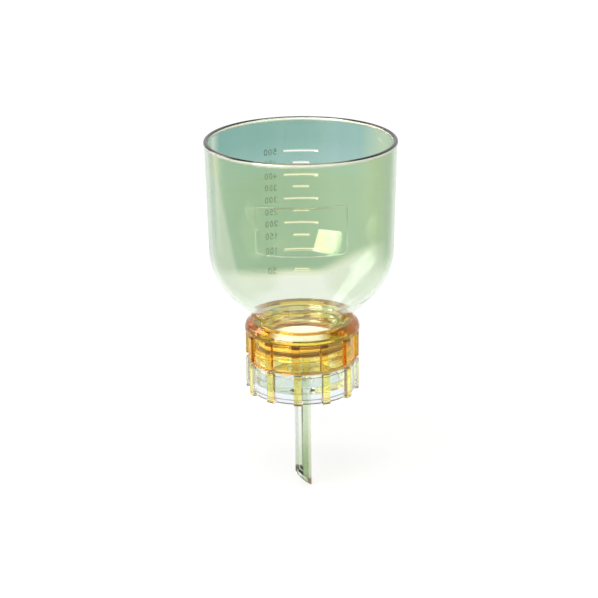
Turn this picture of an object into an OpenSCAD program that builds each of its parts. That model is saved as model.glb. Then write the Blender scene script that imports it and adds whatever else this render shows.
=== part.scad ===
// Vacuum filtration unit for round membranes.
// The graduated funnel stands in a ribbed base, a screwed ring clamps it down on the
// membrane, and the outlet stem below goes through the stopper of a receiving flask.
// Z = 0 is the underside of the base skirt, on the axis. The front is -Y.

/* [Membrane and its seat] */
// Radius of the membrane, and of the screen under it
membrane_r = 23.5; // [18:0.5:30]
// Thickness of the membrane
membrane_t = 0.2; // [0.1:0.05:0.5]
// Thickness of the support screen
screen_t = 2.1; // [1.5:0.1:4]
// Radius of one hole in the screen
screen_hole_r = 0.9; // [0.5:0.1:1.2]
// Distance between two rings of holes
screen_hole_step = 3.1; // [2.6:0.1:5]
// Least room between the outer holes and the ledge under the screen
screen_margin = 1; // [0.4:0.1:3]
// Width of the membrane's edge that the funnel clamps
clamp_w = 6.1; // [5.6:0.1:8]

/* [Funnel bowl] */
// Wall of the bowl
bowl_wall = 1.8; // [1.2:0.1:3]
// Outer radius at the top of the bowl
bowl_top_r = 51.2; // [45:0.1:62]
// How much narrower the bowl is where its straight wall ends
bowl_taper = 1.5; // [0:0.1:5]
// Height of the straight wall
bowl_wall_h = 59.2; // [40:0.1:90]
// Outer radius of the curve under the straight wall
bowl_bend_r = 35.1; // [20:0.1:42]
// Slope of the cone that leads to the throat, from the horizontal
cone_angle = 45; // [38:1:55]
// Wall between the throat and the foot of the cone
neck_wall = 2.9; // [2.4:0.1:4]
// How far the rim bead stands out on each side of the wall
rim_lip = 0.4; // [0.2:0.05:0.8]
// Width of the flat along the rim's top
rim_flat = 0.2; // [0.1:0.1:1]

/* [Funnel flange] */
// Thickness of the flange under the lock ring's lip
flange_t = 3.6; // [2.4:0.1:6]
// Room between the flange and the top of the base
flange_gap = 0.5; // [0.3:0.1:1]
// Height of the plug under the flange, which goes into the base
plug_h = 3.1; // [2.8:0.1:6]
// Bevel at the plug's lower edge
plug_bevel = 0.4; // [0.2:0.1:0.8]

/* [Graduations] */
// Volume between two marks, in millilitres
mark_volume = 50; // [25:5:60]
// Least room between the top mark and the rim
top_room = 14; // [10:0.5:30]
// Length of every second mark
long_mark = 20; // [12:0.5:30]
// Length of the marks between them
short_mark = 9.6; // [5:0.2:12]
// Height of a mark's line
mark_h = 1; // [0.6:0.1:1.6]
// How far the marks and the front panel stand out
relief = 0.5; // [0.3:0.1:0.8]

/* [Front panel] */
// Width of the raised panel
panel_w = 47.4; // [20:0.2:60]
// Height of the raised panel
panel_h = 26.4; // [12:0.2:40]
// Height of its middle above the end of the straight wall
panel_up = 22.6; // [20:0.2:40]
// Radius of its corners
panel_corner = 3; // [1:0.5:6]

/* [Lock ring] */
// Wall of the lock ring outside its thread
ring_wall = 1.9; // [1.4:0.1:3.5]
// Thickness of the lip that presses on the flange
lip_t = 3.2; // [2.4:0.1:5]
// Room between the lip and the cone inside it
lip_clear = 0.6; // [0.3:0.1:1]
// How far the shoulder stands out past the ribs
shoulder_out = 0.3; // [0.1:0.1:1]
// Height of the bevelled shoulder
shoulder_h = 5.8; // [5:0.1:9]
// Straight edge at the foot of the shoulder
shoulder_edge = 2; // [0.6:0.1:2.4]
// How far the shoulder's side leans in above that edge
shoulder_lean = 0.8; // [0.2:0.1:1.4]
// Height of the bevel at the shoulder's top
bevel_h = 2; // [0.8:0.1:2.4]
// How far the shoulder is drawn in at its top
shoulder_in = 3.4; // [1.6:0.1:4]
// Height of the plain bead round the ring's foot
foot_bead_h = 1.9; // [1:0.1:3]
// How far that bead stands out
foot_bead_out = 0.4; // [0.2:0.1:0.8]
// Turn of the ring's ribs away from the front
ring_rib_phase = -7; // [-15:1:15]
// Plain height of the ring below its thread
ring_plain = 1.95; // [1:0.05:4]

/* [Grip ribs] */
// Number of ribs round the ring, and round the base
rib_count = 12; // [8:1:16]
// Width of a rib
rib_w = 4.4; // [2.5:0.1:6]
// How far the ring's ribs stand out of its wall
rib_out = 1.7; // [1:0.1:3]
// Rounding of a rib's outer edges
rib_round = 0.6; // [0.2:0.1:1]

/* [Thread] */
// Rise of the thread in one turn
pitch = 5; // [4:0.5:7]
// Turns of thread on each part
thread_turns = 1.25; // [1:0.05:1.5]
// Depth of the thread
thread_depth = 1; // [0.7:0.1:1.5]
// Half width of a ridge at its foot
ridge_foot = 1.5; // [1.1:0.05:1.6]
// Half width of a ridge at its crest
ridge_top = 0.8; // [0.4:0.05:1]
// Angle at which the base's thread starts
thread_start = -61; // [-180:1:180]

/* [Base] */
// Wall of the collar round the seat
collar_wall = 2.2; // [1.8:0.1:4]
// Plain height of the collar above its thread
collar_plain = 1.5; // [0.6:0.1:4]
// Height of the ribbed skirt
skirt_h = 16.8; // [10:0.1:30]
// Wall of the skirt
skirt_wall = 1.4; // [1.2:0.1:2]
// Room between the skirt and the cup inside it
skirt_gap = 1.4; // [1:0.1:2]
// Thickness of the web that joins skirt and collar
web_t = 2; // [1.4:0.1:4]
// Turn of the base's ribs away from the front
base_rib_phase = -5; // [-15:1:15]
// Height of the thin rim at the skirt's foot
skirt_foot_h = 2.4; // [1:0.1:4]
// How far that rim is set back from the skirt
skirt_foot_in = 0.5; // [0.2:0.1:0.6]
// Width of the ledge under the screen
ledge_w = 3; // [2.6:0.1:5]
// Height of the cup's underside above the skirt's foot
cup_lift = 4.5; // [2:0.1:8]
// Thickness of the cup's floor at the outlet
cup_floor_t = 1.5; // [1:0.1:4]
// Fall of the cup's floor towards the outlet
cup_fall = 1.2; // [0.5:0.1:3]

/* [Outlet stem] */
// Outer radius of the stem
stem_r = 4.5; // [3.5:0.1:8]
// Radius of its bore
stem_bore_r = 3; // [1.5:0.1:5]
// Length of the stem below the skirt's foot
stem_len = 58.3; // [35:0.1:110]
// Angle of the cut at its tip, from the horizontal
tip_angle = 42; // [20:1:60]

/* [Seals] */
// Thickness of the funnel's seal
top_seal_t = 2.2; // [1.4:0.1:2.6]
// Width of the funnel's seal
top_seal_w = 2.8; // [2:0.1:3.2]
// Thickness of the seal under the screen
base_seal_t = 1.6; // [1:0.1:2.4]
// Room round a seal in its groove
seal_room = 0.1; // [0.05:0.05:0.3]

/* [Fits] */
// Radial room round the screen and the membrane
seat_clear = 0.3; // [0.2:0.05:0.6]
// Radial room round the funnel's plug
plug_side_clear = 0.4; // [0.2:0.05:0.8]
// Radial room between the flange and the crest of the ring's thread
flange_clear = 0.4; // [0.2:0.05:0.8]
// Radial room between the two threads
thread_clear = 0.3; // [0.25:0.05:0.5]
// Room between the funnel's plug and the membrane
plug_clear = 0.1; // [0.05:0.05:0.3]
// Room between the ring's lip and the flange
lip_room = 0.1; // [0.05:0.05:0.3]
// Room between the ring's foot and the skirt
ring_lift = 0.4; // [0.2:0.1:1]

/* [Hidden] */
$fn = 96;
// How deep a raised shape is rooted in what carries it
sunk = 0.3;
// How far a cut runs past what it cuts
past = 1;

// Rise of each thread from its start to its end
thread_rise = pitch * thread_turns;

// Heights, from the skirt's foot upwards; the ring's ridge starts half a pitch under the base's
ring_foot_z = skirt_h + ring_lift;
ring_thread_z = ring_foot_z + ring_plain + ridge_foot;
base_thread_z = ring_thread_z + pitch / 2;
collar_z = base_thread_z + thread_rise + ridge_foot + collar_plain;
flange_z = collar_z + flange_gap;
plug_z = flange_z - plug_h;
screen_z = plug_z - plug_clear - membrane_t;
seat_z = screen_z - screen_t;
flange_top_z = flange_z + flange_t;
lip_z = flange_top_z + lip_room;
ring_top_z = lip_z + lip_t;

// Radii of the collar and of everything screwed on it
recess_r = membrane_r + seat_clear;
collar_r = recess_r + collar_wall;
crest_r = collar_r + thread_depth;
ring_crest_r = collar_r + thread_clear;
ring_root_r = crest_r + thread_clear;
ring_r = ring_root_r + ring_wall;
grip_r = ring_r + rib_out;
shoulder_r = grip_r + shoulder_out;
flange_r = ring_crest_r - flange_clear;
plug_r = recess_r - plug_side_clear;
throat_r = membrane_r - clamp_w;
neck_r = throat_r + neck_wall;
cup_r = recess_r - ledge_w;
skirt_in_r = collar_r + skirt_gap;
skirt_r = skirt_in_r + skirt_wall;
skirt_foot_r = skirt_r - skirt_foot_in;

// Bowl: the cone meets the bend where their slopes agree
bowl_waist_r = bowl_top_r - bowl_taper;
bend_c_r = bowl_waist_r - bowl_bend_r;
bend_end_r = bend_c_r + bowl_bend_r * sin(cone_angle);
bend_end_z = flange_top_z + (bend_end_r - neck_r) * tan(cone_angle);
waist_z = bend_end_z + bowl_bend_r * cos(cone_angle);
rim_z = waist_z + bowl_wall_h;
inner_bend_r = bowl_bend_r - bowl_wall;
inner_end_r = bend_c_r + inner_bend_r * sin(cone_angle);
inner_end_z = waist_z - inner_bend_r * cos(cone_angle);
throat_top_z = inner_end_z - (inner_end_r - throat_r) * tan(cone_angle);
wall_slope = bowl_taper / bowl_wall_h;
lip_r = neck_r + (ring_top_z - flange_top_z) / tan(cone_angle) + lip_clear;

// Seals
top_seal_r = (throat_r + plug_r) / 2;
base_seal_r = (cup_r + recess_r) / 2;

// Outer radius of the bowl at a height
function bowl_r(z) =
    z >= waist_z ? bowl_waist_r + wall_slope * (z - waist_z)
    : z >= bend_end_z ? bend_c_r + sqrt(pow(bowl_bend_r, 2) - pow(waist_z - z, 2))
    : neck_r + (z - flange_top_z) / tan(cone_angle);

// Inner radius of the funnel at a height
function hollow_r(z) =
    z >= waist_z ? bowl_r(z) - bowl_wall
    : z >= inner_end_z ? bend_c_r + sqrt(pow(inner_bend_r, 2) - pow(waist_z - z, 2))
    : max(throat_r, throat_r + (z - throat_top_z) / tan(cone_angle));

// Sum of the values in a list
function total(list, i = 0) = i < len(list) ? list[i] + total(list, i + 1) : 0;

// Millilitres held below a height, added up in thin slices above the membrane
slices = 60;
function held(z) =
    let (low = screen_z + membrane_t, step = (z - low) / slices)
    total([for (i = [0 : slices - 1]) PI * pow(hollow_r(low + (i + 0.5) * step), 2) * step]) / 1000;

// Height at which the funnel holds a volume, found by halving
function level(volume, low, high, tries = 18) =
    tries == 0 ? (low + high) / 2
    : held((low + high) / 2) < volume ? level(volume, (low + high) / 2, high, tries - 1)
    : level(volume, low, (low + high) / 2, tries - 1);

// Share of a ridge's full depth: its crest fades in and out over its two ends
ends_share = 1 / 12;
least_share = 0.05;
function fade(share) = max(least_share, min(1, share / ends_share, (1 - share) / ends_share));

// Four points of a ridge's section at each step along its helix
function thread_points(root, crest, z0, steps) = [
    for (i = [0 : steps])
        let (
            share = i / steps,
            turn = thread_start + 360 * thread_turns * share,
            z = z0 + thread_rise * share,
            tip = root + (crest - root) * fade(share),
            back = root - sign(crest - root) * sunk
        )
        for (p = [[back, -ridge_foot], [tip, -ridge_top], [tip, ridge_top], [back, ridge_foot]])
            [p[0] * cos(turn), p[0] * sin(turn), z + p[1]]
];

// Ridge of one thread, swept along its helix
module thread_ridge(root, crest, z0) {
    steps = round(48 * thread_turns);
    outside = crest > root;
    sides = [
        for (i = [0 : steps - 1], k = [0 : 3])
            let (a = 4 * i + k, b = 4 * i + (k + 1) % 4)
            each outside ? [[a, b, a + 4], [b, b + 4, a + 4]] : [[a, a + 4, b], [b, a + 4, b + 4]]
    ];
    last = 4 * steps;
    ends = outside ? [[3, 2, 1, 0], [last, last + 1, last + 2, last + 3]]
        : [[0, 1, 2, 3], [last + 3, last + 2, last + 1, last]];
    polyhedron(thread_points(root, crest, z0, steps), concat(sides, ends), convexity = 6);
}

// Grip ribs with rounded edges, from inside a wall to grip_r
module ribs(wall_r, z0, z1, phase) {
    for (i = [0 : rib_count - 1])
        rotate([0, 0, phase - 90 + i * 360 / rib_count])
            translate([0, 0, z0])
                linear_extrude(z1 - z0) intersection() {
                    difference() {
                        circle(r = grip_r);
                        circle(r = wall_r - sunk);
                    }
                    union() {
                        translate([0, -rib_w / 2]) square([grip_r - rib_round, rib_w]);
                        translate([0, rib_round - rib_w / 2]) square([grip_r + past, rib_w - 2 * rib_round]);
                        for (side = [-1, 1])
                            translate([grip_r - rib_round, side * (rib_w / 2 - rib_round)])
                                circle(r = rib_round);
                    }
                }
}

// Flat ring between two radii
module band(r_in, r_out, z0, z1) {
    rotate_extrude() translate([r_in, z0]) square([r_out - r_in, z1 - z0]);
}

// Part of the bowl's half section that its bend takes up, from the waist to where the cone starts
module bend_region(end_r, end_z) {
    far_r = bowl_waist_r + bowl_bend_r;
    low_z = end_z - bowl_bend_r * cos(cone_angle);
    polygon([[0, waist_z], [0, end_z], [end_r, end_z],
        [end_r + bowl_bend_r * sin(cone_angle), low_z], [far_r, low_z], [far_r, waist_z]]);
}

// Outer half section of the funnel, from the axis
module funnel_outside() {
    polygon([[0, plug_z], [plug_r - plug_bevel, plug_z], [plug_r, plug_z + plug_bevel], [plug_r, flange_z],
        [flange_r, flange_z], [flange_r, flange_top_z], [neck_r, flange_top_z],
        [bend_end_r, bend_end_z], [bend_c_r, waist_z], [bowl_waist_r, waist_z],
        [bowl_top_r, rim_z], [0, rim_z]]);
    intersection() {
        translate([bend_c_r, waist_z]) circle(r = bowl_bend_r, $fn = 180);
        bend_region(bend_end_r, bend_end_z);
    }
}

// Hollow half section of the funnel, from the axis
module funnel_hollow() {
    polygon([[0, plug_z - past], [throat_r, plug_z - past], [throat_r, throat_top_z],
        [inner_end_r, inner_end_z], [bend_c_r, waist_z], [bowl_waist_r - bowl_wall, waist_z],
        [bowl_top_r - bowl_wall, rim_z], [bowl_top_r - bowl_wall, rim_z + past], [0, rim_z + past]]);
    intersection() {
        translate([bend_c_r, waist_z]) circle(r = inner_bend_r, $fn = 180);
        bend_region(inner_end_r, inner_end_z);
    }
}

// Rim bead: a round section with a flat top, which stands out on both sides of the wall
module rim_section() {
    bead_r = (bowl_wall + 2 * rim_lip - rim_flat) / 2;
    middle = bowl_top_r - bowl_wall / 2;
    for (side = [-1, 1])
        translate([middle + side * rim_flat / 2, rim_z - bead_r]) circle(r = bead_r, $fn = 48);
    translate([middle - rim_flat / 2, rim_z - 2 * bead_r]) square([rim_flat, 2 * bead_r]);
}

// Part of the bowl's outer skin between two heights, grown outwards by the relief
module skin(z0, z1) {
    rotate_extrude() polygon([[bowl_r(z0) - sunk, z0], [bowl_r(z0) + relief, z0],
        [bowl_r(z1) + relief, z1], [bowl_r(z1) - sunk, z1]]);
}

// Raised line on the back of the bowl, at one height
module mark(z, length) {
    half = length / 2 / bowl_r(z) * 180 / PI;
    rotate([0, 0, 90 - half]) rotate_extrude(angle = 2 * half)
        polygon([[bowl_r(z) - sunk, z - mark_h / 2], [bowl_r(z) + relief, z - mark_h / 4],
            [bowl_r(z) + relief, z + mark_h / 4], [bowl_r(z) - sunk, z + mark_h / 2]]);
}

// Raised panel with round corners on the front of the bowl
module front_panel() {
    mid = waist_z + panel_up;
    intersection() {
        skin(mid - panel_h / 2 - past, mid + panel_h / 2 + past);
        translate([0, 0, mid]) rotate([90, 0, 0]) linear_extrude(bowl_top_r + relief + past) {
            square([panel_w - 2 * panel_corner, panel_h], center = true);
            square([panel_w, panel_h - 2 * panel_corner], center = true);
            for (x = [-1, 1], y = [-1, 1])
                translate([x * (panel_w / 2 - panel_corner), y * (panel_h / 2 - panel_corner)])
                    circle(r = panel_corner, $fn = 48);
        }
    }
}

module funnel() {
    mark_count = floor(held(rim_z - top_room) / mark_volume);
    color([0.66, 0.78, 0.64, 0.5]) union() {
        difference() {
            rotate_extrude($fn = 144) difference() {
                funnel_outside();
                funnel_hollow();
            }
            band(top_seal_r - top_seal_w / 2 - seal_room, top_seal_r + top_seal_w / 2 + seal_room,
                plug_z - past, plug_z + top_seal_t + seal_room);
        }
        rotate_extrude($fn = 144) rim_section();
        for (i = [1 : mark_count])
            mark(level(i * mark_volume, throat_top_z, rim_z), i % 2 == 0 ? long_mark : short_mark);
        front_panel();
    }
}

module funnel_seal() {
    color([0.78, 0.2, 0.12])
        rotate_extrude() translate([top_seal_r, plug_z + top_seal_t / 2])
            intersection() {
                circle(r = top_seal_w / 2, $fn = 48);
                square([top_seal_w, top_seal_t], center = true);
            }
}

// Outer half section of the lock ring, from the axis
module lock_ring_outside() {
    foot_r = ring_r + foot_bead_out;
    shoulder_z = ring_top_z - shoulder_h;
    polygon([[0, ring_foot_z], [foot_r, ring_foot_z], [foot_r, ring_foot_z + foot_bead_h],
        [ring_r, ring_foot_z + foot_bead_h], [ring_r, shoulder_z], [shoulder_r, shoulder_z],
        [shoulder_r, shoulder_z + shoulder_edge],
        [shoulder_r - shoulder_lean, ring_top_z - bevel_h],
        [shoulder_r - shoulder_in, ring_top_z], [0, ring_top_z]]);
}

module lock_ring() {
    thread_top_z = base_thread_z + thread_rise + ridge_foot + thread_clear;
    color([0.9, 0.66, 0.12, 0.6]) union() {
        difference() {
            rotate_extrude() lock_ring_outside();
            band(0, ring_root_r, ring_foot_z - past, thread_top_z);
            band(0, ring_crest_r, ring_foot_z - past, lip_z);
            band(0, lip_r, ring_foot_z - past, ring_top_z + past);
        }
        ribs(ring_r, ring_foot_z + foot_bead_h, ring_top_z - shoulder_h + sunk, ring_rib_phase);
        thread_ridge(ring_root_r, ring_crest_r, ring_thread_z);
    }
}

module support_screen() {
    rings = floor((cup_r - screen_margin - screen_hole_r) / screen_hole_step);
    color([0.93, 0.93, 0.9]) difference() {
        band(0, membrane_r, seat_z, screen_z);
        translate([0, 0, seat_z - past]) {
            cylinder(r = screen_hole_r, h = screen_t + 2 * past, $fn = 24);
            for (ring = [1 : rings], i = [0 : 6 * ring - 1])
                rotate([0, 0, i * 60 / ring]) translate([ring * screen_hole_step, 0])
                    cylinder(r = screen_hole_r, h = screen_t + 2 * past, $fn = 24);
        }
    }
}

module membrane() {
    color([0.98, 0.98, 0.97]) band(0, membrane_r, screen_z, screen_z + membrane_t);
}

module base_seal() {
    color([0.78, 0.2, 0.12])
        rotate_extrude() translate([base_seal_r, seat_z - base_seal_t / 2])
            circle(r = base_seal_t / 2, $fn = 48);
}

// Bevelled cut across the stem's tip; the long side is on +X
module stem_cut() {
    slope = tan(tip_angle);
    side_r = stem_r + past;
    rotate([90, 0, 0]) linear_extrude(2 * side_r, center = true)
        polygon([[side_r, -stem_len - past * slope], [-side_r, (side_r + stem_r) * slope - stem_len],
            [-side_r, -stem_len - past * slope - past], [side_r, -stem_len - past * slope - past]]);
}

// Cup for the filtrate, with a floor that falls to the outlet
module cup_hollow() {
    outlet_z = cup_lift + cup_floor_t;
    rotate_extrude() polygon([[0, outlet_z], [stem_bore_r, outlet_z], [cup_r, outlet_z + cup_fall],
        [cup_r, seat_z + past], [0, seat_z + past]]);
    band(0, stem_bore_r, -stem_len - past, outlet_z + past);
}

module base() {
    color([0.8, 0.84, 0.6, 0.6]) union() {
        difference() {
            union() {
                band(0, collar_r, cup_lift, collar_z);
                band(collar_r - sunk, skirt_r, skirt_h - web_t, skirt_h);
                band(skirt_in_r, skirt_r, skirt_foot_h, skirt_h);
                band(skirt_in_r, skirt_foot_r, 0, skirt_h);
                band(0, stem_r, -stem_len, cup_lift + sunk);
                ribs(skirt_foot_r, 0, skirt_h, base_rib_phase);
            }
            // recess for the screen, the membrane and the plug
            band(0, recess_r, seat_z, collar_z + past);
            band(base_seal_r - base_seal_t / 2 - seal_room, base_seal_r + base_seal_t / 2 + seal_room,
                seat_z - base_seal_t - seal_room, seat_z + past);
            cup_hollow();
            stem_cut();
        }
        thread_ridge(collar_r, crest_r, base_thread_z);
    }
}

base();
base_seal();
support_screen();
membrane();
funnel();
funnel_seal();
lock_ring();
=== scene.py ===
"""Looks of a vacuum filtration unit: a graduated clear funnel, an amber lock ring and a ribbed base.

The file is laid out as an add-on and is run as a script. Every size is in metres, and the rest pose has
the funnel screwed down. Surfaces are worked out with numpy and replace the faceted solids of the frame.
"""
import math

import bpy
import numpy as np
from bpy.props import FloatProperty, FloatVectorProperty, IntProperty, PointerProperty
from mathutils import Euler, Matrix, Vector


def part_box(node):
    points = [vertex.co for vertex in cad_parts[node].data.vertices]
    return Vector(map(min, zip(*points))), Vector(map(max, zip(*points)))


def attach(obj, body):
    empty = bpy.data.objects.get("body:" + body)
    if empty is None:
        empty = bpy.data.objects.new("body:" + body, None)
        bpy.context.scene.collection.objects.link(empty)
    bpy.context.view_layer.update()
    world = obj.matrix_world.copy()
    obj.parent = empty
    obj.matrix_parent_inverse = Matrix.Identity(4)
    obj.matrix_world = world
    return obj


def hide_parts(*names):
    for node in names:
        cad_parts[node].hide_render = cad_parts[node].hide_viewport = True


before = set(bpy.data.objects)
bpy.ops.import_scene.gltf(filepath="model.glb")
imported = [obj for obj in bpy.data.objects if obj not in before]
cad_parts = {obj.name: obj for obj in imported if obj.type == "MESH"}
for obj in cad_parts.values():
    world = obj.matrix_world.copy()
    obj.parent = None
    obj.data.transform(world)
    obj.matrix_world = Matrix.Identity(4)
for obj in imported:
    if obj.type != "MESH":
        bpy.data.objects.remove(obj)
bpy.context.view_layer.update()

bl_info = {
    "name": "Vacuum Filtration Unit",
    "version": (1, 0, 0),
    "blender": (4, 5, 0),
    "location": "3D View > Sidebar > Filter Unit",
    "description": "Builds the visible pieces of a vacuum filtration unit around its packed frame",
    "category": "Add Mesh",
}

MM = 0.001
FULL_TURN = 2.0 * math.pi
BACK = math.pi / 2.0
FRONT = -math.pi / 2.0
WHITE = (1.0, 1.0, 1.0)
CLEAR = (1.0, 1.0, 0.99)

# How finely the surfaces are cut, and the small roundings that aren't sizes of their own
ARC_STEPS = 4
BOWL_COLUMNS = 180
VOLUME_SLICES = 4000
BEAD_SIDES = 8
SEAL_STEPS = 32
SEAL_COLUMNS = 160
PANEL_STEPS = np.array([-0.6, -0.35, -0.15, 0.0, 0.12, 0.22, 0.33, 0.45, 0.7, 0.95, 1.3, 1.8, 2.4, 3.0]) * MM
NUDGE = 0.01 * MM
EDGE = 0.3 * MM
HOLLOW = 0.35 * MM

# The relief: a mark's side slopes over this share of its width and its ends over this length, the panel's
# edge over this width. On the inner wall, which has no relief, the painted highlight behind each mark is
# wider by the halo and shifted.
MARK_SLOPE = 0.15
MARK_END = 0.3 * MM
MARK_SHIFT = 0.4 * MM
HALO = 0.3 * MM
HALO_STEP = 0.15 * MM
PANEL_EDGE = 0.45 * MM
PANEL_LINE = (0.2 * MM, 0.4 * MM)
PANEL_REACH = 1.2

# A ridge fades over one part in this many of its length at each end, and its foot is drawn out by a little.
RIDGE_FADE = 12.0
RIDGE_FOOT = 0.15 * MM

# The upper seal's half width and its groove, which starts this far inside the seal's outer edge
TOP_SEAL_HALF = 1.4 * MM
TOP_GROOVE_IN = 2.9 * MM
TOP_GROOVE_W = 3.0 * MM
SEAL_PLAY = 0.1 * MM

# The outlet stem: how far below the cup a first row of its walls lies, its radius, and the slant of its cut
STEM_ROW = 6.0 * MM
STEM_R = 4.5 * MM
CUT_ANGLE = math.radians(42.0)
CUT_SLOPE = math.tan(CUT_ANGLE)

# The plastics: refraction, smoothness and how strongly a thick body takes up light
CLEAR_IOR = 1.5
AMBER_IOR = 1.55
POLISHED = 0.03
BOWL_DENSITY = 65.0
NUMBER_DENSITY = 40.0
RING_DENSITY = 240.0
BASE_DENSITY = 16.0

FUNNEL_LOW, FUNNEL_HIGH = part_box("funnel")
RING_LOW, RING_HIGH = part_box("lock_ring")
BASE_LOW, BASE_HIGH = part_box("base")
SCREEN_LOW, SCREEN_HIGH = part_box("support_screen")
MEMBRANE_LOW, MEMBRANE_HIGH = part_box("membrane")
TOP_SEAL_LOW, TOP_SEAL_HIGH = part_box("funnel_seal")
BASE_SEAL_LOW, BASE_SEAL_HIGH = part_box("base_seal")
BASE_SEAL_HALF = (BASE_SEAL_HIGH.z - BASE_SEAL_LOW.z) / 2.0

# The stage. Each lamp has its place, its width and height, its power, its tint and whether it is mirrored.
LAMP_TARGET = Vector((0.0, 0.0, 0.05))
LAMPS = {
    "window": ((-0.65, -0.80, 0.45), (0.7, 0.9), 32.0, (1.0, 0.84, 0.94), True),
    "side": ((-0.90, 0.41, 0.54), (0.55, 0.7), 9.0, (1.0, 0.75, 0.72), True),
    "key": ((-0.55, -0.40, 1.00), (0.5, 0.5), 6.0, (1.0, 0.98, 0.94)),
    "top": ((0.0, -0.38, 1.05), (0.5, 0.4), 7.0, WHITE),
    "rear": ((0.25, 0.80, 0.80), (0.7, 0.7), 3.0, (0.96, 0.99, 1.0)),
}
CAMERA_PLACE = (0.0, -1.1, 0.4246)
CAMERA_DOWN = 18.79
CAMERA_ROLL = -0.5
CAMERA_LENS = 129.12
CAMERA_SHIFT = -0.005
CEILING_REACH = (0.45, 0.8)
CEILING_LIGHT = 0.1
ROOM_LIGHT = 0.4
FLOOR_HALF = 6.0
FLOOR_REACH = (0.15, 0.6)
FLOOR_SHARE = 0.72
FLOOR_WHITE = 1.08


# ---------------------------------------------------------------- values that a user may change

def length(name, description, default):
    """A length in metres."""
    return FloatProperty(name=name, description=description, default=default, unit="LENGTH", precision=5)


def colour(name, description, default):
    """A linear colour without alpha."""
    return FloatVectorProperty(name=name, description=description, default=default, size=3, min=0.0, max=1.0,
                               subtype="COLOR")


class FunnelSizes(bpy.types.PropertyGroup):
    """The graduated bowl, its throat and its flange"""
    rim_z: length("Rim height", "Top of the rim bead", FUNNEL_HIGH.z)
    plug_z: length("Plug underside", "Underside of the plug that presses on the membrane", FUNNEL_LOW.z)
    rim_lip: length("Rim lip", "How far the rim bead stands out on each side of the wall", 0.4 * MM)
    wall: length("Wall", "Thickness of the bowl's wall", 1.8 * MM)
    taper: length("Taper", "How much wider the bowl is at the rim than at its waist", 1.5 * MM)
    wall_height: length("Wall height", "Height of the straight wall", 59.2 * MM)
    bend: length("Bend", "Outer radius of the curve under the waist", 35.1 * MM)
    throat_r: length("Throat", "Inner radius of the throat", 17.4 * MM)
    neck_r: length("Neck", "Outer radius where the cone leaves the flange", 20.3 * MM)
    flange_r: length("Flange", "Radius of the clamped flange", 25.9 * MM)
    flange_t: length("Flange thickness", "Height of the clamped flange", 3.6 * MM)
    plug_r: length("Plug", "Radius of the plug below the flange", 23.4 * MM)
    plug_h: length("Plug height", "How far the plug reaches below the flange", 3.1 * MM)
    mark_step: FloatProperty(name="Mark step", description="Millilitres between two marks", default=50.0)
    mark_count: IntProperty(name="Marks", description="How many marks the bowl has", default=10, min=1)
    long_mark: length("Long mark", "Length of every second mark", 20.0 * MM)
    short_mark: length("Short mark", "Length of the other marks", 9.6 * MM)
    mark_h: length("Mark height", "Width of a mark's foot", 1.0 * MM)
    relief: length("Relief", "How far marks and panel stand out", 0.5 * MM)
    panel_w: length("Panel width", "Width of the raised front panel", 47.4 * MM)
    panel_h: length("Panel height", "Height of the raised front panel", 26.4 * MM)
    panel_up: length("Panel place", "Middle of the panel above the waist", 22.6 * MM)
    panel_corner: length("Panel corner", "Corner radius of the panel", 3.0 * MM)
    digit_h: length("Digit height", "Height of a number", 3.1 * MM)
    digit_w: length("Digit width", "Width of one digit", 1.9 * MM)
    digit_step: length("Digit step", "From one digit to the next", 2.75 * MM)
    digit_line: length("Digit line", "Width of a digit's line", 0.5 * MM)
    number_x: length("Number place", "Middle of a number beside the marks, along the wall", 17.5 * MM)


class ThreadSizes(bpy.types.PropertyGroup):
    """The helical ridges of the lock ring and the base"""
    pitch: length("Pitch", "Rise of one turn", 5.0 * MM)
    turns: FloatProperty(name="Turns", description="Turns of each ridge", default=1.25)
    foot: length("Foot", "Half the width of a ridge at its root", 1.5 * MM)
    top: length("Top", "Half the width of a ridge at its crest", 0.8 * MM)
    depth: length("Depth", "Height of a ridge", 1.0 * MM)
    start: FloatProperty(name="Start", description="Where the ridges start", default=math.radians(-61.0),
                         subtype="ANGLE")
    ring_z: length("Ring thread", "Middle of the ring's ridge at its start", 20.65 * MM)
    base_z: length("Base thread", "Middle of the base's ridge at its start", 23.15 * MM)


class GripSizes(bpy.types.PropertyGroup):
    """The ribs round the lock ring and the base"""
    count: IntProperty(name="Ribs", description="Ribs on each piece", default=12, min=3)
    width: length("Rib width", "Width of a rib", 4.4 * MM)
    round: length("Rib rounding", "Radius along a rib's edges", 0.6 * MM)
    grip_r: length("Grip radius", "Radius over the ribs", 30.9 * MM)
    ring_phase: FloatProperty(name="Ring phase", description="Turn of the ring's ribs",
                              default=math.radians(-97.0), subtype="ANGLE")
    base_phase: FloatProperty(name="Base phase", description="Turn of the base's ribs",
                              default=math.radians(-95.0), subtype="ANGLE")


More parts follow.
